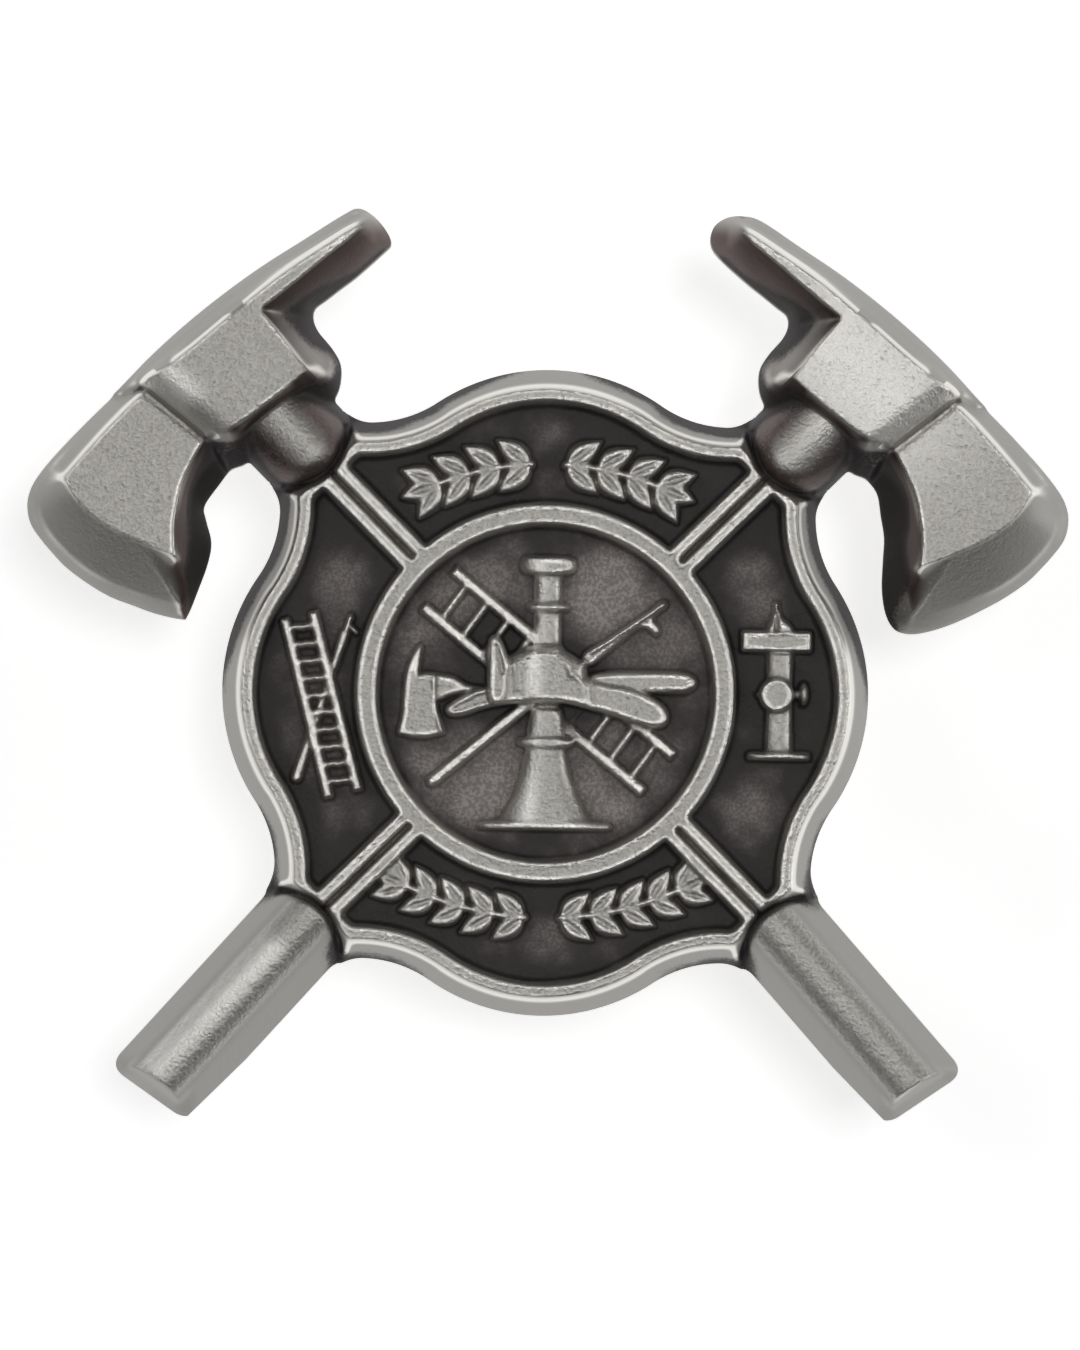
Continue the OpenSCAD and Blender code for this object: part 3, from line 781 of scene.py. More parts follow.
def leaf_pattern():
    """One leaf of unit length along +X: two round halves with a crease between them."""
    mesh = bpy.data.meshes.new("leaf")
    points = []
    stations = 10
    across = (-1.0, -0.72, -0.36, 0.0, 0.36, 0.72, 1.0)
    lift = (-0.5, 0.1, 0.14, 0.07, 0.14, 0.1, -0.5)
    for i in range(stations + 1):
        share = i / stations
        half = 0.3 * math.sin(math.pi * share**0.8) + 0.004
        arch = 0.45 + 0.55 * math.sin(math.pi * min(share * 1.1 + 0.05, 1.0))
        for side, z in zip(across, lift):
            points.append((share, side * half, z * arch if z > 0 else z))
    faces = []
    wide = len(across)
    for i in range(stations):
        for j in range(wide - 1):
            a = i * wide + j
            faces.append((a, a + wide, a + wide + 1, a + 1))
    mesh.from_pydata(points, [], faces)
    return new_object("leaf", mesh)


def laurel_tree(leaf):
    """Two sprays that grow apart from +Y along an arc about the origin."""
    tree, size = new_tree("Laurel", LAUREL_SIZES)
    start = maths(tree, "SUBTRACT", math.pi / 2, size["First"])
    arc = add_node(
        tree, "GeometryNodeCurveArc",
        {
            "Resolution": 48, "Radius": size["Arc"], "Start Angle": start,
            "Sweep Angle": minus(tree, size["Sweep"]),
        },
    )
    stem_section = add_node(tree, "GeometryNodeCurvePrimitiveCircle", {"Radius": 0.11, "Resolution": 10})
    places = add_node(tree, "GeometryNodeCurveToPoints", {"Curve": arc.outputs[0], "Count": size["Pairs"]})
    pattern = add_node(tree, "GeometryNodeObjectInfo", {"Object": leaf, "As Instance": True})
    parts = add_node(tree, "GeometryNodeJoinGeometry")
    tree.links.new(swept(tree, arc, stem_section), parts.inputs[0])
    heading = add_node(
        tree, "FunctionNodeAlignRotationToVector", {"Vector": places.outputs["Tangent"]}, axis="X"
    )
    index = add_node(tree, "GeometryNodeInputIndex").outputs[0]
    last = maths(tree, "SUBTRACT", size["Pairs"], 1.0)
    is_last = add_node(
        tree, "FunctionNodeCompare", {"A": index, "B": last}, data_type="FLOAT", operation="EQUAL"
    )
    leaf_size = vector(tree, size["Leaf"], size["Leaf"], 1.0)
    for side, chosen in ((1.0, True), (-1.0, True), (0.0, is_last.outputs[0])):
        angle = maths(tree, "MULTIPLY", size["Splay"], side)
        turn = add_node(tree, "FunctionNodeEulerToRotation", {0: vector(tree, 0.0, 0.0, angle)})
        heading_turned = add_node(
            tree, "FunctionNodeRotateRotation",
            {"Rotation": heading.outputs[0], "Rotate By": turn.outputs[0]}, rotation_space="LOCAL",
        )
        place = {"Rotation": heading_turned.outputs[0], "Selection": chosen, "Scale": leaf_size}
        leaves = on_points(tree, places.outputs["Points"], pattern.outputs["Geometry"], **place)
        tree.links.new(leaves, parts.inputs[0])
    berry = add_node(tree, "GeometryNodeMeshUVSphere", {"Segments": 12, "Rings": 8, "Radius": 0.12})
    tree.links.new(on_points(tree, places.outputs["Points"], berry.outputs[0]), parts.inputs[0])
    flip = {"Geometry": parts.outputs[0], "Scale": (-1.0, 1.0, 1.0)}
    mirror = add_node(tree, "GeometryNodeTransform", flip)
    both = add_node(tree, "GeometryNodeJoinGeometry")
    tree.links.new(parts.outputs[0], both.inputs[0])
    tree.links.new(mirror.outputs[0], both.inputs[0])
    end_tree(tree, both.outputs[0], pattern_wax)
    return tree


LEAF_TOP = 1.72
SPLAY = math.radians(38)  # a leaf's angle to its stem
leaf = leaf_pattern()
laurels = laurel_tree(leaf)
top_laurel = run_tree(laurels, {
    "Arc": 8.05, "First": math.radians(3.4), "Sweep": math.radians(18.0), "Pairs": 4,
    "Splay": SPLAY, "Leaf": 1.2,
})
top_laurel.transform(Matrix.Translation((0.0, -1.8, LEAF_TOP)))
bottom_laurel = run_tree(laurels, {
    "Arc": 8.75, "First": math.radians(3.2), "Sweep": math.radians(21.5), "Pairs": 5,
    "Splay": SPLAY, "Leaf": 1.12,
})
bottom_laurel.transform(Matrix.Translation((0.0, 2.6, LEAF_TOP)) @ Matrix.Rotation(math.pi, 4, "Z"))
bpy.data.objects.remove(leaf)
print("the laurels' patterns have", len(top_laurel.polygons) + len(bottom_laurel.polygons), "faces")

# %% Press patterns into the map
def feeler(mesh):
    """A tree of the pattern's faces that answers rays quickly, and the box it lies in."""
    points = [v.co.copy() for v in mesh.vertices]
    co = np.array(points)
    return BVHTree.FromPolygons(points, [p.vertices[:] for p in mesh.polygons]), co.min(0), co.max(0)


def press(x, y, pattern):
    """The pattern's height at each place, felt with a ray from above."""
    tree, low, high = pattern
    result = np.full(x.shape, NOWHERE)
    near = (x > low[0]) & (x < high[0]) & (y > low[1]) & (y < high[1])
    down = Vector((0.0, 0.0, -1.0))
    felt = []
    for px, py in zip(x[near], y[near]):
        hit = tree.ray_cast(Vector((px, py, high[2] + 1.0)), down)[0]
        felt.append(NOWHERE if hit is None else hit.z)
    result[near] = felt
    return result


patterns = [feeler(m) for m in (arm_ladder, top_laurel, bottom_laurel)]
under_helmet = feeler(ring_ladder)

# %% [markdown]
# ## The whole casting
# All forms come together in two functions: one for the outline, and one for the height. The
# fields get a slight unevenness of their own, because a sunk field is never quite flat.

# %% The casting's outline and height
NECK_FILLET = 0.35  # the rounds where each form meets the cross's outline
HEAD_FILLET = 0.12
HAFT_FILLET = 0.5
TOOL_FILLET = 0.07  # and where the tools meet the fields
UNEVEN = 0.02  # how far the fields wave up and down
UNDER_HELMET = (0.2, -0.2), 1.1, 0.6  # the long ladder dips here: where, how wide and how deep
ROOT_LINE = 0.45, 0.07  # depth and width of the dark line round a haft's root
SKIRT = 0.4  # the outer wall's softened foot reaches this far above the upright edge


def casting_edge(x, y):
    """Distance to the whole badge's outline, negative inside."""
    edge = cross_edge(x, y)
    for side, u in (("left", x), ("right", -x)):
        edge = soft_min(edge, neck(u, y)[0], NECK_FILLET)
        edge = soft_min(edge, edge_distance(head_outline(side), u, y), HEAD_FILLET)
        edge = soft_min(edge, lower_haft(u, y, side)[0], HAFT_FILLET)
    return edge


def casting_height(x, y):
    """The whole face of the badge, in millimetres above its back."""
    tools = heap([emblem(x, y), side_tools(x, y)])
    for pattern in patterns:
        tools = np.maximum(tools, press(x, y, pattern))
    (dip_x, dip_y), dip_wide, dip_deep = UNDER_HELMET
    dip = dip_deep * np.exp(-((np.hypot(x - dip_x, y - dip_y) / dip_wide) ** 2))
    tools = np.maximum(tools, press(x, y, under_helmet) - dip)
    waves = np.sin(2.3 * x + 1.1 * np.sin(1.7 * y)) * np.sin(2.9 * y + 1.3 * np.sin(1.3 * x))
    face = cross_height(x, y) + UNEVEN * waves * ramp(land_edge(x, y), 0.0, 0.3)
    face = soft_max(face, np.where(land_edge(x, y) > 0.02, tools, NOWHERE), TOOL_FILLET)
    near = np.hypot(x, y) > 8.0
    in_root = near & (root_depth(x, y) > -0.05)
    for side, u in (("left", x), ("right", -x)):
        head = np.where(near, axe_head(u, y, side), NOWHERE)
        stem = np.where(in_root & (u < 0) & (y > 0), neck(u, y)[1], NOWHERE)
        end = np.where(in_root & (u < 0) & (y < 0), lower_haft(u, y, side)[1], NOWHERE)
        face = soft_max(face, np.maximum(soft_max(stem, head, 0.1), end), 0.06)
    from_line = np.where(diagonals(x, y)[1] < 1.2, np.abs(root_depth(x, y)), 1.0)
    face = face - ROOT_LINE[0] * np.exp(-((from_line / ROOT_LINE[1]) ** 2))
    inset = -casting_edge(x, y)
    skirt = np.where(inset > 0.0, np.minimum(0.8 * inset, SKIRT), 4.0 * inset)
    return np.maximum(face, EDGE_H + skirt)


# %% [markdown]
# ## Taking the skin off
# The skin is a fine grid over the map, cut along the outline. Its border points move onto the
# outline, so that the edge is a clean curve and no staircase, and a wall and a flat back close it
# into a solid. One mesh this fine for the whole badge would be too heavy, so the casting is cut
# into a few closed pieces. The cuts follow the darkest corners, where none can be seen.

# %% Work on grids
def shifted(grid, reach, axis):
    """The grid moved along one axis by every number of cells from -reach to reach."""
    padded = np.pad(grid, [(reach, reach) if k == axis else (0, 0) for k in (0, 1)], mode="edge")
    for start in range(2 * reach + 1):
        yield padded.take(range(start, start + grid.shape[axis]), axis)


def soften(grid, cells):
    """A Gaussian blur, with a radius counted in cells."""
    reach = int(math.ceil(3 * cells))
    weights = np.exp(-0.5 * (np.arange(-reach, reach + 1) / cells) ** 2)
    weights /= weights.sum()
    for axis in (0, 1):
        grid = sum(weight * moved for weight, moved in zip(weights, shifted(grid, reach, axis)))
    return grid


def roll_wheel(grid, cell, radius, deepest):
    """The surface that a soft wheel of this radius reaches: a closing of the height map."""
    reach = int(math.sqrt(2 * radius * deepest) / cell)
    sag = (np.arange(-reach, reach + 1) * cell) ** 2 / (2 * radius)
    for sign in (1.0, -1.0):
        for axis in (0, 1):
            felt = [moved - drop for moved, drop in zip(shifted(sign * grid, reach, axis), sag)]
            grid = sign * np.max(felt, axis=0)
    return grid


def look_up(grid, x_low, y_low, cell, x, y):
    """The grid's value at any places, between its points."""
    u = np.clip((x - x_low) / cell, 0, grid.shape[1] - 1.001)
    v = np.clip((y - y_low) / cell, 0, grid.shape[0] - 1.001)
    i = u.astype(int)
    j = v.astype(int)
    u = u - i
    v = v - j
    low = grid[j, i] * (1 - u) + grid[j, i + 1] * u
    high = grid[j + 1, i] * (1 - u) + grid[j + 1, i + 1] * u
    return low * (1 - v) + high * v


def grid_over(box, cell):
    """Places on a square grid over a box (x low, y low, x high, y high)."""
    columns = box[0] + cell * np.arange(int((box[2] - box[0]) / cell) + 2)
    rows = box[1] + cell * np.arange(int((box[3] - box[1]) / cell) + 2)
    return np.meshgrid(columns, rows)


# %% Where the wheel reaches
WHEEL_CELL = 0.1
WHEEL_R = 1.8
x_all, y_all = grid_over((-19.0, -17.0, 19.0, 18.0), WHEEL_CELL)
outside = casting_edge(x_all, y_all) > 0.1
BELOW = -24.0  # past the outline there is nothing that keeps the wheel off the walls
rough_map = np.where(outside, BELOW, casting_height(x_all, y_all))
wheel_map = roll_wheel(rough_map, WHEEL_CELL, WHEEL_R, BLOCK_H - BELOW)
print(f"the wheel stays up to {(wheel_map - rough_map)[~outside].max():.2f} mm above the metal")

# %% Cut and close a piece
BACK_CHAMFER = 0.07
SNAP = 0.55  # how far outside the outline, in cells, a grid point may lie before it is dropped


def kept_cells(edge, cell):
    """The grid's cells inside the outline, without any that hang on by one corner only."""
    near = edge < SNAP * cell
    keep = near[:-1, :-1] & near[1:, :-1] & near[:-1, 1:] & near[1:, 1:]
    while True:
        a, b = keep[:-1, :-1], keep[:-1, 1:]
        c, d = keep[1:, :-1], keep[1:, 1:]
        first = a & d & ~b & ~c
        second = b & c & ~a & ~d
        if not (first.any() or second.any()):
            return keep
        keep[:-1, :-1] &= ~first
        keep[:-1, 1:] &= ~second


def number_points(keep, shape):
    """Which grid points the kept cells use, and a number for each of them."""
    used = np.zeros(shape, bool)
    for rows, columns in ((0, 0), (0, 1), (1, 0), (1, 1)):
        used[rows:rows + keep.shape[0], columns:columns + keep.shape[1]] |= keep
    number = np.full(shape, -1)
    number[used] = np.arange(used.sum())
    return used, number


def border_edges(keep, number):
    """Border edges as pairs of point numbers, anticlockwise round the piece."""
    wide = np.pad(keep, 1)
    middle = wide[1:-1, 1:-1]
    corners = number[:-1, :-1], number[:-1, 1:], number[1:, 1:], number[1:, :-1]
    neighbours = wide[:-2, 1:-1], wide[1:-1, 2:], wide[2:, 1:-1], wide[1:-1, :-2]
    pairs = []
    for k in range(4):
        open_side = middle & ~neighbours[k]
        pairs.append(np.stack([corners[k][open_side], corners[(k + 1) % 4][open_side]], 1))
    return np.concatenate(pairs)


def loops_of(pairs):
    """Border edges sorted into closed loops."""
    following = dict(pairs.tolist())
    loops = []
    while following:
        start, here = following.popitem()
        loop = [start]
        while here != start:
            loop.append(here)
            here = following.pop(here)
        loops.append(loop)
    return loops


# %% [markdown]
# ### What each point remembers
# The finish isn't the same everywhere. The wheel rolls over edges and brightens them, and they
# get a painted highlight as well. It can't get into corners. The steep outer walls are painted a
# darker grey as shade. The walls that face the cross and the sides of the necks get a dark brown
# painted shade, and a few listed lines get a painted highlight. A painter would mask these places
# by hand. Here the masks are worked out from the shape, from how sharply it bends, how steep it is
# and which way it faces, all but the highlight lines. The six marks say whether a point is on a
# sunk field, how deep it lies below the reach of a soft wheel, how sharp an edge or a corner it is
# on, how steep it is, how much painted shade it gets on the walls facing the cross, and how much
# painted highlight.

# %% Marks for the finish
BEND_REACH = 0.1  # an edge is felt over this distance
INNER_SHADE_RANGE = (9.6, 13.3)  # the heads' inner walls get painted shade between these distances from the middle
PICK_SHADE_REACH = 0.6  # and this much further out on the picks
NECK_END = 11.2  # the necks end this far from the middle, under the blocks
HAFT_WORN = 15.0  # and the hafts' edges are polished and painted a little bright as far out as this
DULL_TIP = (-4.8, 12.65)  # the wheel slides off the picks' tips, so they have no bright edge
DULL_R = 0.7
FADE = 0.5  # how far such limits are spread
ROLLED = (-10.6, 8.3), (-9.3, 7.25)  # the block's rolled edge, which keeps the top's colour without the painted wall shade
BLOCK_SLOPE = (-7.0, 10.0), (-6.1, 8.8)  # the block's side over the neck, which gets less painted shade
PAINTED_HIGHLIGHT_LINES = [  # lines of painted highlight, where light makes the tops shine, and how wide
    ((7.8, 9.6), (9.0, 8.4), 2.4),
    ((-10.5, 8.55), (-9.9, 8.0), 0.4),
    ((-7.4, -7.1), (-10.5, -10.3), 0.38),
    ((-0.42, -3.3), (-0.26, 3.4), 0.24),
]


def inner_shade_mark(x, y, slope_x, slope_y):
    """1 on the heads' inner walls that face the cross and round the necks, where shade is painted."""
    radius = np.hypot(x, y)
    steepness = np.hypot(slope_x, slope_y) + 1e-6
    inner = ramp(slope_x * np.sign(x) / steepness, 0.15, 0.6) * ramp(steepness, 0.6, 1.6)
    reach = INNER_SHADE_RANGE[1] + PICK_SHADE_REACH * ramp(y, 8.5, 9.5)
    inner = inner * ramp(radius, INNER_SHADE_RANGE[0], INNER_SHADE_RANGE[0] + 0.6) * ramp(radius, reach, reach - 0.6)
    inner = inner * (1.0 - 0.75 * ridge(-np.abs(x), y, *BLOCK_SLOPE, 1.0, 0.55))
    neck_side = ramp(steepness, 0.15, 0.9) * ramp(radius, NECK_END, NECK_END - FADE)
    neck_side = neck_side * ramp(root_depth(x, y), 0.0, 0.1)
    return np.where(y > 0, np.maximum(inner, 0.85 * neck_side), 0.0)


def sunk_mark(x, y, z):
    """1 on the sunk fields, between rim, ring and spokes."""
    inside = ramp(land_edge(x, y), -0.05, 0.08) * (cross_edge(x, y) < 0) * (root_depth(x, y) < 0)
    return inside * (1.0 - ramp(z, FIELD_H + 0.03, FIELD_H + 0.2))


def edge_mark(bend, inner_shade, x, y):
    """Positive on edges and negative in corners. Edges that the wheel misses count for less."""
    bend = bend * ramp(-casting_edge(x, y), 0.02, 0.2)
    in_root = root_depth(x, y)
    worn = 0.35 * ramp(np.hypot(x, y), HAFT_WORN, HAFT_WORN - FADE)
    reached = np.where(in_root > 0, ramp(in_root, 0.3, 0.7) * np.where(y < 0, worn, 1.0), 1.0)
    reached = reached * (1.0 - 0.75 * inner_shade)
    from_tip = np.hypot(-np.abs(x) - DULL_TIP[0], y - DULL_TIP[1])
    reached = reached * (1.0 - np.exp(-((from_tip / DULL_R) ** 4)))
    return np.where(bend > 0, bend * reached, bend)


def steep_mark(steepness, x, y, z):
    """How steep a place is, for the painted wall shade, and 0 where the top's colour is kept all the same."""
    steep = steepness * (1.0 - ridge(-np.abs(x), y, *ROLLED, 1.0, 0.38))
    steep = steep * ramp(cross_edge(x, y), -RIM_END, -WALL_RUN)
    in_root = root_depth(x, y)
    barrel = 0.55 * ramp(z, STRIP_H, STRIP_H + 0.12) * (in_root > 0) * (y < 0)
    on_neck = ramp(np.hypot(x, y), NECK_END, NECK_END - FADE) * ramp(in_root, 0.0, 0.1) * (y > 0)
    return (steep - barrel) * (1.0 - 0.5 * on_neck)


def finish_marks(height, at_points, cell, x, y, px, py):
    """All six marks of a piece's points."""
    pz = at_points(height)
    slope_y, slope_x = np.gradient(height, cell)
    bend = (height - soften(height, BEND_REACH / cell)) / BEND_REACH
    # painted shade on the walls that face the cross and round the necks
    inner_shade = at_points(inner_shade_mark(x, y, slope_x, slope_y))
    wheel = look_up(wheel_map, x_all[0, 0], y_all[0, 0], WHEEL_CELL, px, py)
    return {
        "sunk": sunk_mark(px, py, pz),
        "hollow": wheel - pz,
        "sharp": edge_mark(at_points(bend), inner_shade, px, py),
        "steep": steep_mark(at_points(np.hypot(slope_x, slope_y)), px, py, pz),
        "inner_shade": inner_shade,
        # painted highlight along the listed lines
        "painted_highlight": np.max([ridge(px, py, a, b, 1.0, width) for a, b, width in PAINTED_HIGHLIGHT_LINES], axis=0),
    }


# %% Make one piece
SKIN_BLUR = 1.0  # in cells


def move_border(edge, cell, used, border, px, py):
    """Moves the border points onto the edge, and gives the way out at each of them."""
    rise_y, rise_x = np.gradient(edge, cell)
    size = np.hypot(rise_x, rise_y)[used][border] + 1e-9
    out_x, out_y = rise_x[used][border] / size, rise_y[used][border] / size
    shift = np.clip(edge[used][border] / size, -1.3 * cell, 1.3 * cell)
    px[border] -= shift * out_x
    py[border] -= shift * out_y
    return out_x, out_y


def cast_piece(name, box, cell, region):
    """One closed piece of the casting: its face from the height map, a wall and a flat back."""
    x, y = grid_over(box, cell)
    outline = casting_edge(x, y)
    edge = np.maximum(outline, region(x, y))
    height = soften(casting_height(x, y), SKIN_BLUR)
    keep = kept_cells(edge, cell)
    used, number = number_points(keep, edge.shape)
    pairs = border_edges(keep, number)
    border = np.unique(pairs)
    px, py = x[used], y[used]
    out_x, out_y = move_border(edge, cell, used, border, px, py)

    def at_points(grid):
        return look_up(grid, box[0], box[1], cell, px, py)

    marks = finish_marks(height, at_points, cell, x, y, px, py)
    on_outline = np.abs(at_points(outline)[border]) < 0.5 * cell
    inset = np.where(on_outline, BACK_CHAMFER, 0.0)
    wall_x = np.concatenate([px[border], px[border] - inset * out_x])
    wall_y = np.concatenate([py[border], py[border] - inset * out_y])
    wall_z = np.concatenate([np.full(border.shape, BACK_CHAMFER), np.zeros(border.shape)])
    face = np.stack([px, py, at_points(height)], 1)
    points = np.concatenate([face, np.stack([wall_x, wall_y, wall_z], 1)])
    position = np.full(len(face), -1)
    position[border] = np.arange(len(border))
    a, b = pairs[:, 0], pairs[:, 1]
    upper_a, upper_b = len(face) + position[a], len(face) + position[b]
    lower_a, lower_b = upper_a + len(border), upper_b + len(border)
    corners = number[:-1, :-1][keep], number[:-1, 1:][keep], number[1:, 1:][keep], number[1:, :-1][keep]
    quads = np.concatenate([
        np.stack(corners, 1),
        np.stack([b, a, upper_a, upper_b], 1),
        np.stack([upper_b, upper_a, lower_a, lower_b], 1),
    ])
    first_low = len(face) + len(border)
    back = back_faces([[first_low + position[i] for i in loop] for loop in loops_of(pairs)], points)
    mesh = mesh_from(name, points, quads, back)
    for label, value in marks.items():
        store(mesh, label, np.concatenate([value, np.zeros(len(wall_x))]))
    creases = {tuple(sorted(pair)) for pair in pairs.tolist()}
    creases |= {tuple(sorted(pair)) for pair in np.stack([lower_a, lower_b], 1).tolist()}
    mark_sharp(mesh, creases)
    print(f"{name}: {len(quads) * 2 + len(back)} triangles")
    return new_object(name, mesh)


# %% Mesh helpers
def back_faces(loops, points):
    """Triangles that close the flat back, facing down."""
    loops = [[int(i) for i in loop] for loop in loops]
    flat = [i for loop in loops for i in loop]
    outlines = [[Vector((points[i][0], points[i][1], 0.0)) for i in loop] for loop in loops]
    faces = []
    for face in tessellate_polygon(outlines):
        a, b, c = (points[flat[i]] for i in face)
        turn = (b[0] - a[0]) * (c[1] - a[1]) - (b[1] - a[1]) * (c[0] - a[0])
        order = face if turn < 0 else face[::-1]
        faces.append([flat[i] for i in order])
    return faces


def mesh_from(name, points, quads, back):
    """A mesh in metres: smooth quads for the face and wall, flat triangles for the back."""
    mesh = bpy.data.meshes.new(name)
    metres = (points + (0.0, 0.0, BACK_Z)) * MM
    mesh.from_pydata(metres.tolist(), [], quads.tolist() + back)
    smooth = np.ones(len(quads) + len(back), bool)
    smooth[len(quads):] = False
    mesh.polygons.foreach_set("use_smooth", smooth)
    return mesh


def store(mesh, label, values):
    """One number for each point, for the materials to read."""
    layer = mesh.attributes.new(label, "FLOAT", "POINT")
    layer.data.foreach_set("value", values.astype(np.float32))


def mark_sharp(mesh, pairs):
    """Edges across which the shading isn't smoothed."""
    ends = np.zeros(len(mesh.edges) * 2, int)
    mesh.edges.foreach_get("vertices", ends)
    ends = np.sort(ends.reshape(-1, 2), 1)
    flags = np.array([tuple(pair) in pairs for pair in ends.tolist()])
    layer = mesh.attributes.new("sharp_edge", "BOOLEAN", "EDGE")
    layer.data.foreach_set("value", flags)


# %% Cut the casting into its pieces
SEAM_R = 4.42  # the cut round the medallion, at the foot of the ring
FIELD_SEAM = 0.22  # the cut round a field, from the rim's edge
CROSS_REACH = 0.6  # nothing of the cross lies further than this outside its arcs


def diagonal(x, y, angle):
    """How far along one direction each place is."""
    return x * math.cos(angle) + y * math.sin(angle)


def one_root(degrees):
    """The inside of the crevice round the haft's root that lies in this direction."""
    angle = math.radians(degrees)

    def region(x, y):
        along = diagonal(x, y, angle)
        across = diagonal(x, y, angle + math.pi / 2)
        return np.hypot(np.minimum(along - ROOT_AT, 0.0), across) - ROOT_R

    return region


def one_head(degrees):
    """An axe head with its neck: all that is in its root or well outside the cross."""
    root = one_root(degrees)
    return lambda x, y: np.minimum(root(x, y), CROSS_REACH - cross_edge(x, y))


def fields(x, y):
    """The sunk fields of the four arms, a little inside their edges. Negative inside."""
    inside = np.maximum(FIELD_SEAM - land_edge(x, y), RING_OUT - np.hypot(x, y))
    return np.maximum(inside, root_depth(x, y) + 0.1)


def one_field(degrees):
    """The field of the arm that points in this direction."""
    angle = math.radians(degrees)

    def region(x, y):
        across = np.abs(diagonal(x, y, angle + math.pi / 2))
        return np.maximum(fields(x, y), (across - diagonal(x, y, angle)) / math.sqrt(2))

    return region


def cross_frame(x, y):
    """The cross with its rim, ring and spokes, around the fields and the medallion."""
    outer = np.maximum(cross_edge(x, y) - CROSS_REACH, root_depth(x, y))
    return np.maximum(np.maximum(outer, SEAM_R - np.hypot(x, y)), -fields(x, y))


FINE = 0.032
COARSE = 0.04
pieces = [
    cast_piece("medallion", (-4.6, -4.6, 4.6, 4.6), FINE, lambda x, y: np.hypot(x, y) - SEAM_R),
    cast_piece("cross", (-9.1, -9.1, 9.1, 9.1), COARSE, cross_frame),
    cast_piece("field_top", (-5.8, 3.2, 5.8, 8.3), FINE, one_field(90)),
    cast_piece("field_left", (-8.3, -5.8, -3.2, 5.8), FINE, one_field(180)),
    cast_piece("field_bottom", (-5.8, -8.3, 5.8, -3.2), FINE, one_field(270)),
    cast_piece("field_right", (3.2, -5.8, 8.3, 5.8), FINE, one_field(0)),
    cast_piece("axe_left", (-14.6, 1.5, -4.1, 13.5), COARSE, one_head(135)),
    cast_piece("axe_right", (4.1, 1.5, 14.6, 13.5), COARSE, one_head(45)),
    cast_piece("haft_left", (-12.3, -12.5, -4.8, -4.6), COARSE, one_root(225)),
    cast_piece("haft_right", (4.8, -12.1, 12.0, -4.6), COARSE, one_root(315)),
]

# %% [markdown]
# ## The nail and the clutch
# Behind the badge everything is turned on a lathe: the nail with its soldered foot, and the
# clutch. A profile spun round the axis makes each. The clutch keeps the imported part's profile,
# with its edges rounded.

# %% Lathe work
def lathe(name, rows, segments=96):
    """A closed turned piece from rows of (radius, height), listed from the bottom upwards."""
    mesh = bpy.data.meshes.new(name)
    work = bmesh.new()
    rings = []
    for radius, z in rows:
        if radius < 1e-6:
            rings.append([work.verts.new((0.0, 0.0, z * MM))])
            continue
        ring = []
        for i in range(segments):
            a = 2 * math.pi * i / segments
            ring.append(work.verts.new((radius * math.cos(a) * MM, radius * math.sin(a) * MM, z * MM)))
        rings.append(ring)
    for low, high in zip(rings, rings[1:]):
        for i in range(segments):
            a, b = low[i % len(low)], low[(i + 1) % len(low)]
            c, d = high[(i + 1) % len(high)], high[i % len(high)]
            work.faces.new([v for k, v in enumerate((a, b, c, d)) if v not in (a, b, c, d)[:k]])
    for face in work.faces:
        face.smooth = True
    bmesh.ops.recalc_face_normals(work, faces=work.faces)
    work.to_mesh(mesh)
    work.free()
    mesh.set_sharp_from_angle(angle=math.radians(40))
    return new_object(name, mesh)


def arc_rows(centre, radius, start, end, steps=6):
    """Rows along an arc of the profile, in degrees."""
    return [
        (centre[0] + radius * math.cos(math.radians(start + (end - start) * i / steps)),
         centre[1] + radius * math.sin(math.radians(start + (end - start) * i / steps)))
        for i in range(steps + 1)
    ]


NAIL_R = 0.55
FOOT_R = 2.25
FOOT_H = 0.4
nail_tip = badge_low.z / MM
nail_rows = [(0.0, nail_tip)] + arc_rows((0.0, nail_tip + 0.12), 0.12, -60, 0, 3)
nail_rows += [(NAIL_R - 0.02, nail_tip + 0.86), (NAIL_R, nail_tip + 0.95), (NAIL_R, BACK_Z - 1.1)]
nail_rows += [(NAIL_R + 0.08, BACK_Z - 0.85), (NAIL_R + 0.3, BACK_Z - FOOT_H - 0.1)]
nail_rows += [(NAIL_R + 0.6, BACK_Z - FOOT_H)]
nail_rows += arc_rows((FOOT_R - 0.15, BACK_Z - FOOT_H + 0.15), 0.15, -90, 0)
nail_rows += [(FOOT_R, BACK_Z - 0.05), (FOOT_R + 0.06, BACK_Z)]
nail_rows += [(FOOT_R + 0.06, BACK_Z + 0.05), (0.0, BACK_Z + 0.05)]
nail = lathe("nail", nail_rows, 64)

CLUTCH_R = clutch_high.x / MM
CLUTCH_H = clutch_high.z / MM
LIP = 0.4
BORE = NAIL_R + 0.04
clutch_rows = [(0.0, 0.0), (3.4, 0.0)] + arc_rows((3.4, 0.5), 0.5, -90, 0)[1:]
clutch_rows += [(4.02, 2.6), (4.1, 4.15)] + [(4.18, 4.4), (5.2, CLUTCH_H - 2 * LIP - 0.04)]
clutch_rows += arc_rows((CLUTCH_R - LIP, CLUTCH_H - LIP), LIP, -80, 90, 10)
clutch_rows += [(4.4, CLUTCH_H), (4.2, CLUTCH_H - 0.06), (1.3, CLUTCH_H - 0.06), (1.15, CLUTCH_H)]
clutch_rows += [(BORE + 0.08, CLUTCH_H), (BORE, CLUTCH_H - 0.08), (BORE, 0.6), (0.0, 0.6)]
clutch = lathe("clutch_shell", clutch_rows)
print(f"the clutch is {CLUTCH_R * 2:.1f} mm across and {CLUTCH_H:.1f} mm high")

# %% [markdown]
# ## Finishes
# The bright metal, the black and the fine grain are three separate effects, so each is a shader
# node group with its own inputs, and the materials of casting, nail and clutch share them.

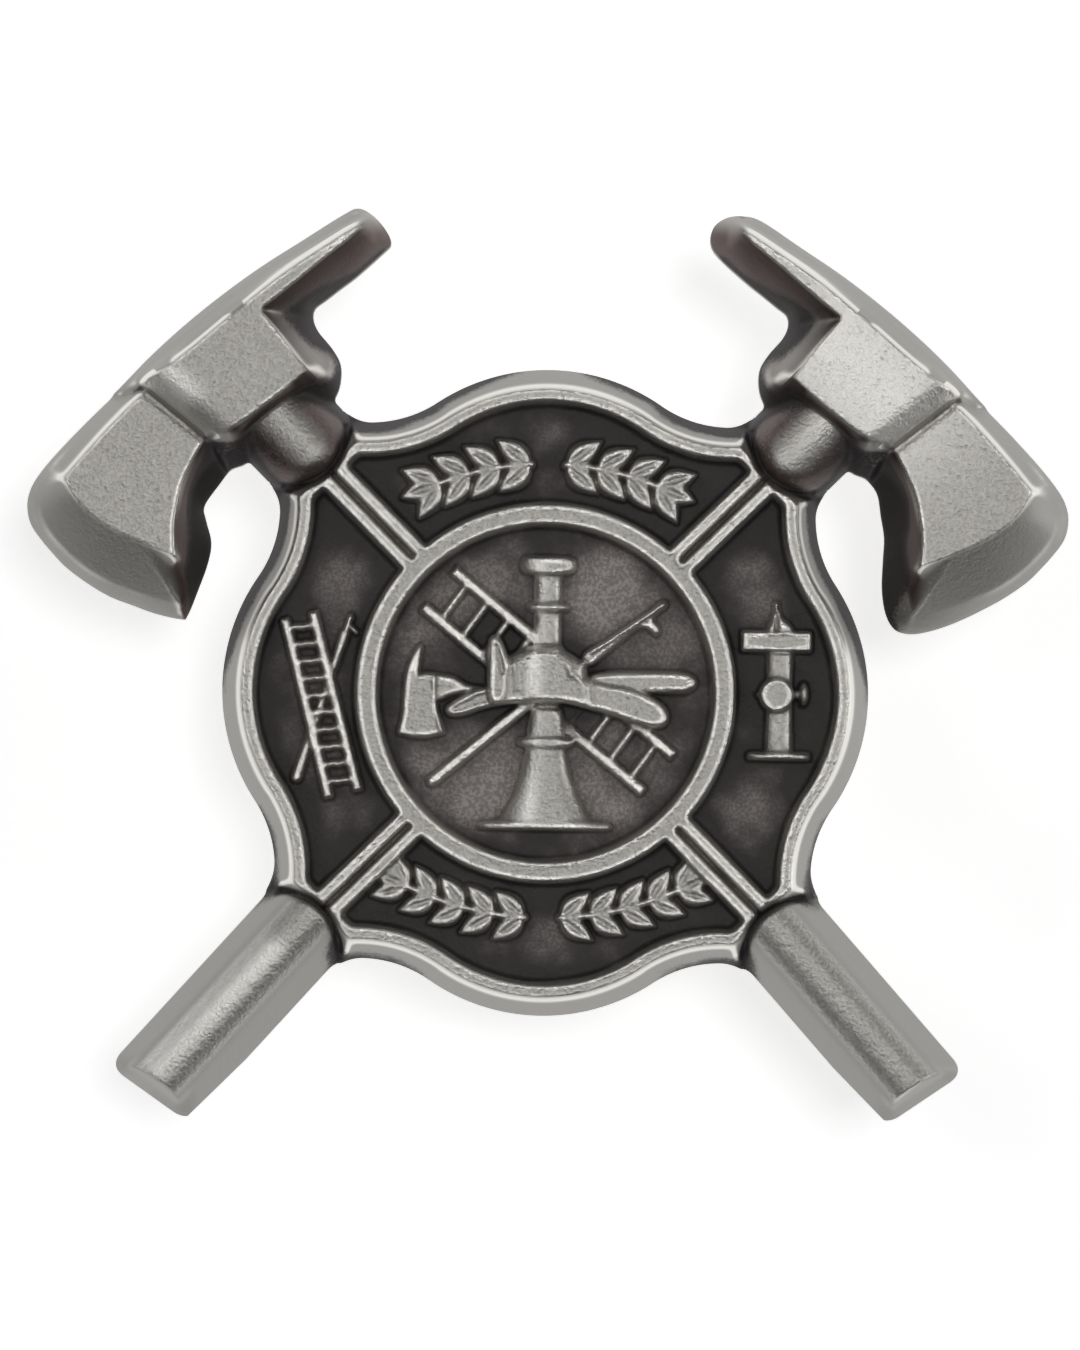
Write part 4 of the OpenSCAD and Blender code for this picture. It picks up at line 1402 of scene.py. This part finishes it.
# %% Shader helpers
def shader_group(name, inputs, outputs):
    """An empty shader node group with named inputs and outputs."""
    group = bpy.data.node_groups.new(name, "ShaderNodeTree")
    kinds = {"value": "NodeSocketFloat", "colour": "NodeSocketColor", "vector": "NodeSocketVector"}
    for label, (kind, value) in inputs.items():
        socket = group.interface.new_socket(label, in_out="INPUT", socket_type=kinds[kind])
        if value is not None:
            socket.default_value = value
    for label, kind in outputs.items():
        group.interface.new_socket(label, in_out="OUTPUT", socket_type=kinds[kind])
    return group, group.nodes.new("NodeGroupInput").outputs, group.nodes.new("NodeGroupOutput").inputs


def in_millimetres(tree, place):
    """Object coordinates, which are in metres, in millimetres."""
    scaled = add_node(tree, "ShaderNodeVectorMath", {0: place, 1: (1 / MM,) * 3}, operation="MULTIPLY")
    return scaled.outputs[0]


def remap(tree, value, low, high, to_low=0.0, to_high=1.0):
    """A value moved from one range to another, on an S curve and held at its ends."""
    ends = {"From Min": low, "From Max": high, "To Min": to_low, "To Max": to_high}
    kind = "ShaderNodeMapRange"
    return add_node(tree, kind, {"Value": value, **ends}, interpolation_type="SMOOTHSTEP").outputs[0]


def blend_colours(tree, share, first, second):
    """A mix of two colours."""
    return add_node(tree, "ShaderNodeMix", {0: share, 6: first, 7: second}, data_type="RGBA").outputs[2]


# %% [markdown]
# ### Cast grain
# Pewter cast in a rubber mould has a fine tooth, a tenth of a millimetre across. It could be
# modelled, but as millions of points, so it is a bump: two sizes of noise and some pits. The
# group puts out the bump's height and a speckle that breaks up the polish.

# %% Group: cast grain
def cast_grain_group():
    """The fine tooth of cast pewter, and the speckle that it leaves in the polish."""
    group, given, out = shader_group(
        "Cast grain",
        {"Place": ("vector", None), "Grains per mm": ("value", 8.0), "Pits": ("value", 0.3)},
        {"Height": "value", "Speckle": "value"},
    )
    in_mm = in_millimetres(group, given["Place"])
    fine = add_node(
        group, "ShaderNodeTexNoise",
        {"Vector": in_mm, "Scale": given["Grains per mm"], "Detail": 3.0, "Roughness": 0.55},
    )
    half = maths(group, "MULTIPLY", given["Grains per mm"], 0.45)
    broad = add_node(group, "ShaderNodeTexNoise", {"Vector": in_mm, "Scale": half, "Detail": 2.0})
    pits = add_node(group, "ShaderNodeTexVoronoi", {"Vector": in_mm, "Scale": half})
    pit = maths(group, "MULTIPLY", remap(group, pits.outputs["Distance"], 0.0, 0.35, 1.0, 0.0), given["Pits"])
    height = maths(group, "ADD", fine.outputs[0], maths(group, "MULTIPLY", broad.outputs[0], 0.8))
    group.links.new(maths(group, "SUBTRACT", height, pit), out["Height"])
    group.links.new(remap(group, fine.outputs[0], 0.4, 0.62), out["Speckle"])
    return group


# %% [markdown]
# ### Blackening
# The bath blackens everything, and the wheel then takes the black off wherever it reaches. The
# fields stay black, and so do tight corners and places far below the wheel. Where the wheel just
# touched a field, it left a grey haze. The group puts out how black a place is, and how hazy.

# %% Group: blackening
KEPT_BLACK = 0.28, 0.85  # the black begins, and is whole, this deep below the wheel, in millimetres
TIGHT_CORNER = -0.35, -1.5  # and in corners as sharp as this
TOUCHED = 0.68, 0.2  # the haze begins, and is whole, this deep below the wheel


def blackening_group():
    """How black and how hazy a place is, from its marks."""
    group, given, out = shader_group(
        "Blackening",
        {
            "Place": ("vector", None), "Sunk": ("value", 0.0), "Depth": ("value", 0.0),
            "Corner": ("value", 0.0), "Speckle": ("value", 0.5),
        },
        {"Black": "value", "Haze": "value"},
    )
    in_mm = in_millimetres(group, given["Place"])
    cloud = add_node(group, "ShaderNodeTexNoise", {"Vector": in_mm, "Scale": 0.9, "Detail": 4.0})
    wander = maths(group, "MULTIPLY", maths(group, "SUBTRACT", cloud.outputs[0], 0.5), 0.5)
    depth = maths(group, "ADD", given["Depth"], wander)
    deep = remap(group, depth, *KEPT_BLACK)
    corner = remap(group, given["Corner"], *TIGHT_CORNER)
    grit = maths(group, "MULTIPLY", maths(group, "SUBTRACT", 0.5, given["Speckle"]), 0.2)
    total = maths(group, "ADD", maths(group, "ADD", given["Sunk"], deep), maths(group, "ADD", corner, grit))
    group.links.new(remap(group, total, 0.1, 0.9), out["Black"])
    touched = remap(group, depth, *TOUCHED)
    speck = remap(group, given["Speckle"], 0.1, 0.9, 0.6, 1.0)
    group.links.new(maths(group, "MULTIPLY", touched, speck), out["Haze"])
    return group


cast_grain = cast_grain_group()
blackening = blackening_group()


# %% [markdown]
# ### Antiqued pewter
# Bare pewter is a warm grey metal. Where it is blackened it is nearly black, rough and hardly
# metallic. Sharp edges are polished smoothest and painted brightest, partly as a highlight, and a
# few listed lines on the tops get a near-white painted highlight. The steep outer walls have a weaker
# grain and are painted darker than the tops as shade, and those that face the cross get a dark brown
# painted shade.

# %% Material: antiqued pewter
def new_material(name):
    """A node material, its tree, its shader and the Object coordinates in it."""
    material = bpy.data.materials.new(name)
    material.use_nodes = True
    tree = material.node_tree
    shader = tree.nodes["Principled BSDF"]
    place = add_node(tree, "ShaderNodeTexCoord").outputs["Object"]
    return material, tree, shader, place


def attribute(tree, label):
    """A mark that the mesh carries."""
    return add_node(tree, "ShaderNodeAttribute", attribute_name=label).outputs["Fac"]


TOP_DULL = (0.46, 0.445, 0.42, 1.0)  # the flat tops, between these two with the speckle
TOP_SHINY = (0.55, 0.533, 0.503, 1.0)
# painted highlight: near-white, standing in for shine on the tops
PAINTED_HIGHLIGHT_COLOUR = (0.93, 0.91, 0.87, 1.0)
# painted shade: steep outer walls take this darker grey
SHADED_WALL_COLOUR = (0.355, 0.344, 0.326, 1.0)
# painted shade: a dark brown for the walls that face the cross
INNER_SHADE_COLOUR = (0.13, 0.095, 0.09, 1.0)
# the polished edges' colour, partly a painted highlight
POLISH_AND_HIGHLIGHT_EDGE = (0.80, 0.78, 0.74, 1.0)
BLACK = (0.055, 0.047, 0.047, 1.0)
HAZE = (0.44, 0.4, 0.38, 1.0)
TOOTH_DEPTH = 0.03 * MM
BRIGHTENED = 0.08, 0.45  # how sharp an edge is where its polish and painted highlight begin, and where they are whole
WALL_SHADE_SLOPES = 0.35, 1.1  # how steep a wall is, rise over run, where it starts to get the darker painted shade, and gets it wholly


def antiqued_pewter():
    """The casting's metal, from bright edges to black recesses."""
    material, tree, shader, place = new_material("antiqued_pewter")
    tooth = {"Place": place, "Grains per mm": 11.0}
    grain = add_node(tree, "ShaderNodeGroup", tooth, node_tree=cast_grain)
    bath = {
        "Place": place, "Sunk": attribute(tree, "sunk"), "Depth": attribute(tree, "hollow"),
        "Corner": attribute(tree, "sharp"), "Speckle": grain.outputs["Speckle"],
    }
    black = add_node(tree, "ShaderNodeGroup", bath, node_tree=blackening)
    edge = remap(tree, attribute(tree, "sharp"), *BRIGHTENED)
    steep = remap(tree, attribute(tree, "steep"), *WALL_SHADE_SLOPES)
    tops = blend_colours(tree, grain.outputs["Speckle"], TOP_DULL, TOP_SHINY)
    # painted highlight: the tops turn near-white along the listed lines
    tops = blend_colours(tree, attribute(tree, "painted_highlight"), tops, PAINTED_HIGHLIGHT_COLOUR)
    # painted shade: steep outer walls turn a darker grey than the tops
    bare = blend_colours(tree, steep, tops, SHADED_WALL_COLOUR)
    # painted shade: the walls that face the cross and the neck sides turn dark brown
    shaded_walls = blend_colours(tree, attribute(tree, "inner_shade"), bare, INNER_SHADE_COLOUR)
    # polished edges, brightened partly as a painted highlight
    bright = blend_colours(tree, edge, shaded_walls, POLISH_AND_HIGHLIGHT_EDGE)
    dark = blend_colours(tree, black.outputs["Haze"], BLACK, HAZE)
    colour = blend_colours(tree, black.outputs["Black"], bright, dark)
    metal = remap(tree, black.outputs["Black"], 0.0, 1.0, 1.0, 0.4)
    rough = remap(tree, edge, 0.0, 1.0, 0.5, 0.4)
    rough = maths(tree, "ADD", rough, maths(tree, "MULTIPLY", black.outputs["Black"], 0.12))
    strength = remap(tree, steep, 0.0, 1.0, 1.0, 0.25)
    lift = maths(tree, "MULTIPLY", grain.outputs["Height"], strength)
    bump = add_node(tree, "ShaderNodeBump", {"Height": lift, "Distance": TOOTH_DEPTH, "Strength": 0.9})
    fill(tree, shader, {"Base Color": colour, "Metallic": metal, "Roughness": rough})
    tree.links.new(bump.outputs[0], shader.inputs["Normal"])
    return material


# %% [markdown]
# ### Bright nickel
# The nail is turned and the clutch is pressed, and both are then plated with nickel. The plate
# is smoother than any casting, but fine rings from the tools still show under it. They are a
# bump that repeats along the height, so low that only the reflections waver.

# %% Material: bright nickel
NICKEL = (0.6, 0.575, 0.54, 1.0)
RING_DEPTH = 0.006 * MM


def bright_nickel():
    """Nickel plate, with the tools' fine rings under it."""
    material, tree, shader, place = new_material("bright_nickel")
    cloud = {"Place": place, "Grains per mm": 1.2}
    grain = add_node(tree, "ShaderNodeGroup", cloud, node_tree=cast_grain)
    rough = remap(tree, grain.outputs["Speckle"], 0.0, 1.0, 0.12, 0.2)
    rings = add_node(
        tree, "ShaderNodeTexWave", {"Vector": place, "Scale": 2500.0, "Distortion": 0.4},
        wave_type="BANDS", bands_direction="Z",
    )
    marks = {"Height": rings.outputs["Fac"], "Distance": RING_DEPTH, "Strength": 0.5}
    bump = add_node(tree, "ShaderNodeBump", marks)
    fill(tree, shader, {"Base Color": NICKEL, "Metallic": 1.0, "Roughness": rough})
    tree.links.new(bump.outputs[0], shader.inputs["Normal"])
    return material


# %% Dress the pieces
pewter = antiqued_pewter()
nickel = bright_nickel()
for piece in pieces + [nail]:
    piece.data.materials.append(pewter if piece is not nail else nickel)
    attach(piece, "root")
    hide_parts("badge")
clutch.data.materials.append(nickel)
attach(clutch, "root")
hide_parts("clutch")

# %% [markdown]
# ## Floor, light and camera
# The pin lies on a white table that glows a little, as a light table does. Metal shows what it
# reflects, so each light is placed for a reflection. Walls steeper than 45 degrees look at the
# table. Flat tops look straight up, at the small lamp overhead, and low lamps on three sides give
# the slopes in between their shine. The rest of the room is nearly dark, for dark recesses.

# %% Stage
def white_floor():
    """The table, wide enough for every view."""
    mesh = bpy.data.meshes.new("floor")
    half = 1.5
    corners = [(-half, -half, 0), (half, -half, 0), (half, half, 0), (-half, half, 0)]
    mesh.from_pydata(corners, [], [(0, 1, 2, 3)])
    floor = new_object("floor", mesh)
    material, tree, shader, _ = new_material("white_table")
    glow = {"Emission Color": (1.0, 1.0, 1.0, 1.0), "Emission Strength": 0.6}
    fill(tree, shader, {"Base Color": (0.92, 0.92, 0.92, 1.0), "Roughness": 0.9, **glow})
    mesh.materials.append(material)


white_floor()

# %% Lights
CENTRE = Vector((0.0, 0.0, (BACK_Z + 1.0) * MM))  # half way up the rim


def soft_light(name, azimuth, elevation, distance, size, power):
    """A square soft light that looks at the pin. Azimuth 90 is above the badge's top."""
    data = bpy.data.lights.new(name, "AREA")
    data.size = size
    data.energy = power
    lamp = new_object(name, data)
    a, e = math.radians(azimuth), math.radians(elevation)
    offset = Vector((math.cos(a) * math.cos(e), math.sin(a) * math.cos(e), math.sin(e))) * distance
    lamp.location = CENTRE + offset
    lamp.rotation_euler = (-offset).to_track_quat("-Z", "Y").to_euler()


LIGHTS = {  # azimuth, elevation, distance, size and power
    "low_right": (0, 12, 0.45, 0.22, 0.32),
    "low_top": (65, 12, 0.45, 0.22, 0.15),
    "side_right": (0, 40, 0.45, 0.22, 0.16),
    "side_left": (150, 38, 0.45, 0.22, 0.2),
    "middle_left": (228, 52, 0.45, 0.15, 0.12),
    "high_left": (150, 68, 0.5, 0.15, 0.14),
    "high_right": (32, 82, 0.6, 0.1, 0.68),
}
for name, values in LIGHTS.items():
    soft_light(name, *values)
print(len(LIGHTS), "lights")
world = bpy.data.worlds.new("studio")
world.use_nodes = True
background = world.node_tree.nodes["Background"]
background.inputs["Color"].default_value = (1.0, 1.0, 1.0, 1.0)
background.inputs["Strength"].default_value = 0.03
bpy.context.scene.world = world
bpy.context.scene.view_settings.view_transform = "Standard"

# %% Camera
FRAME_H = 36.99  # the photo's height at the badge, in millimetres
AIM = Vector((-0.15 * MM, 0.49 * MM, (BACK_Z + 1.0) * MM))
PHOTO_TURN = 0.015  # the pin lies turned this far clockwise in the photo, in radians
LENS = 180.0
SENSOR = 36.0
distance = FRAME_H * LENS / SENSOR * MM
data = bpy.data.cameras.new("camera")
data.lens = LENS
data.sensor_width = SENSOR
data.clip_start = 0.01
camera = new_object("camera", data)
camera.location = AIM + Vector((0.0, 0.0, distance))
camera.rotation_euler = (0.0, 0.0, PHOTO_TURN)
bpy.context.scene.camera = camera
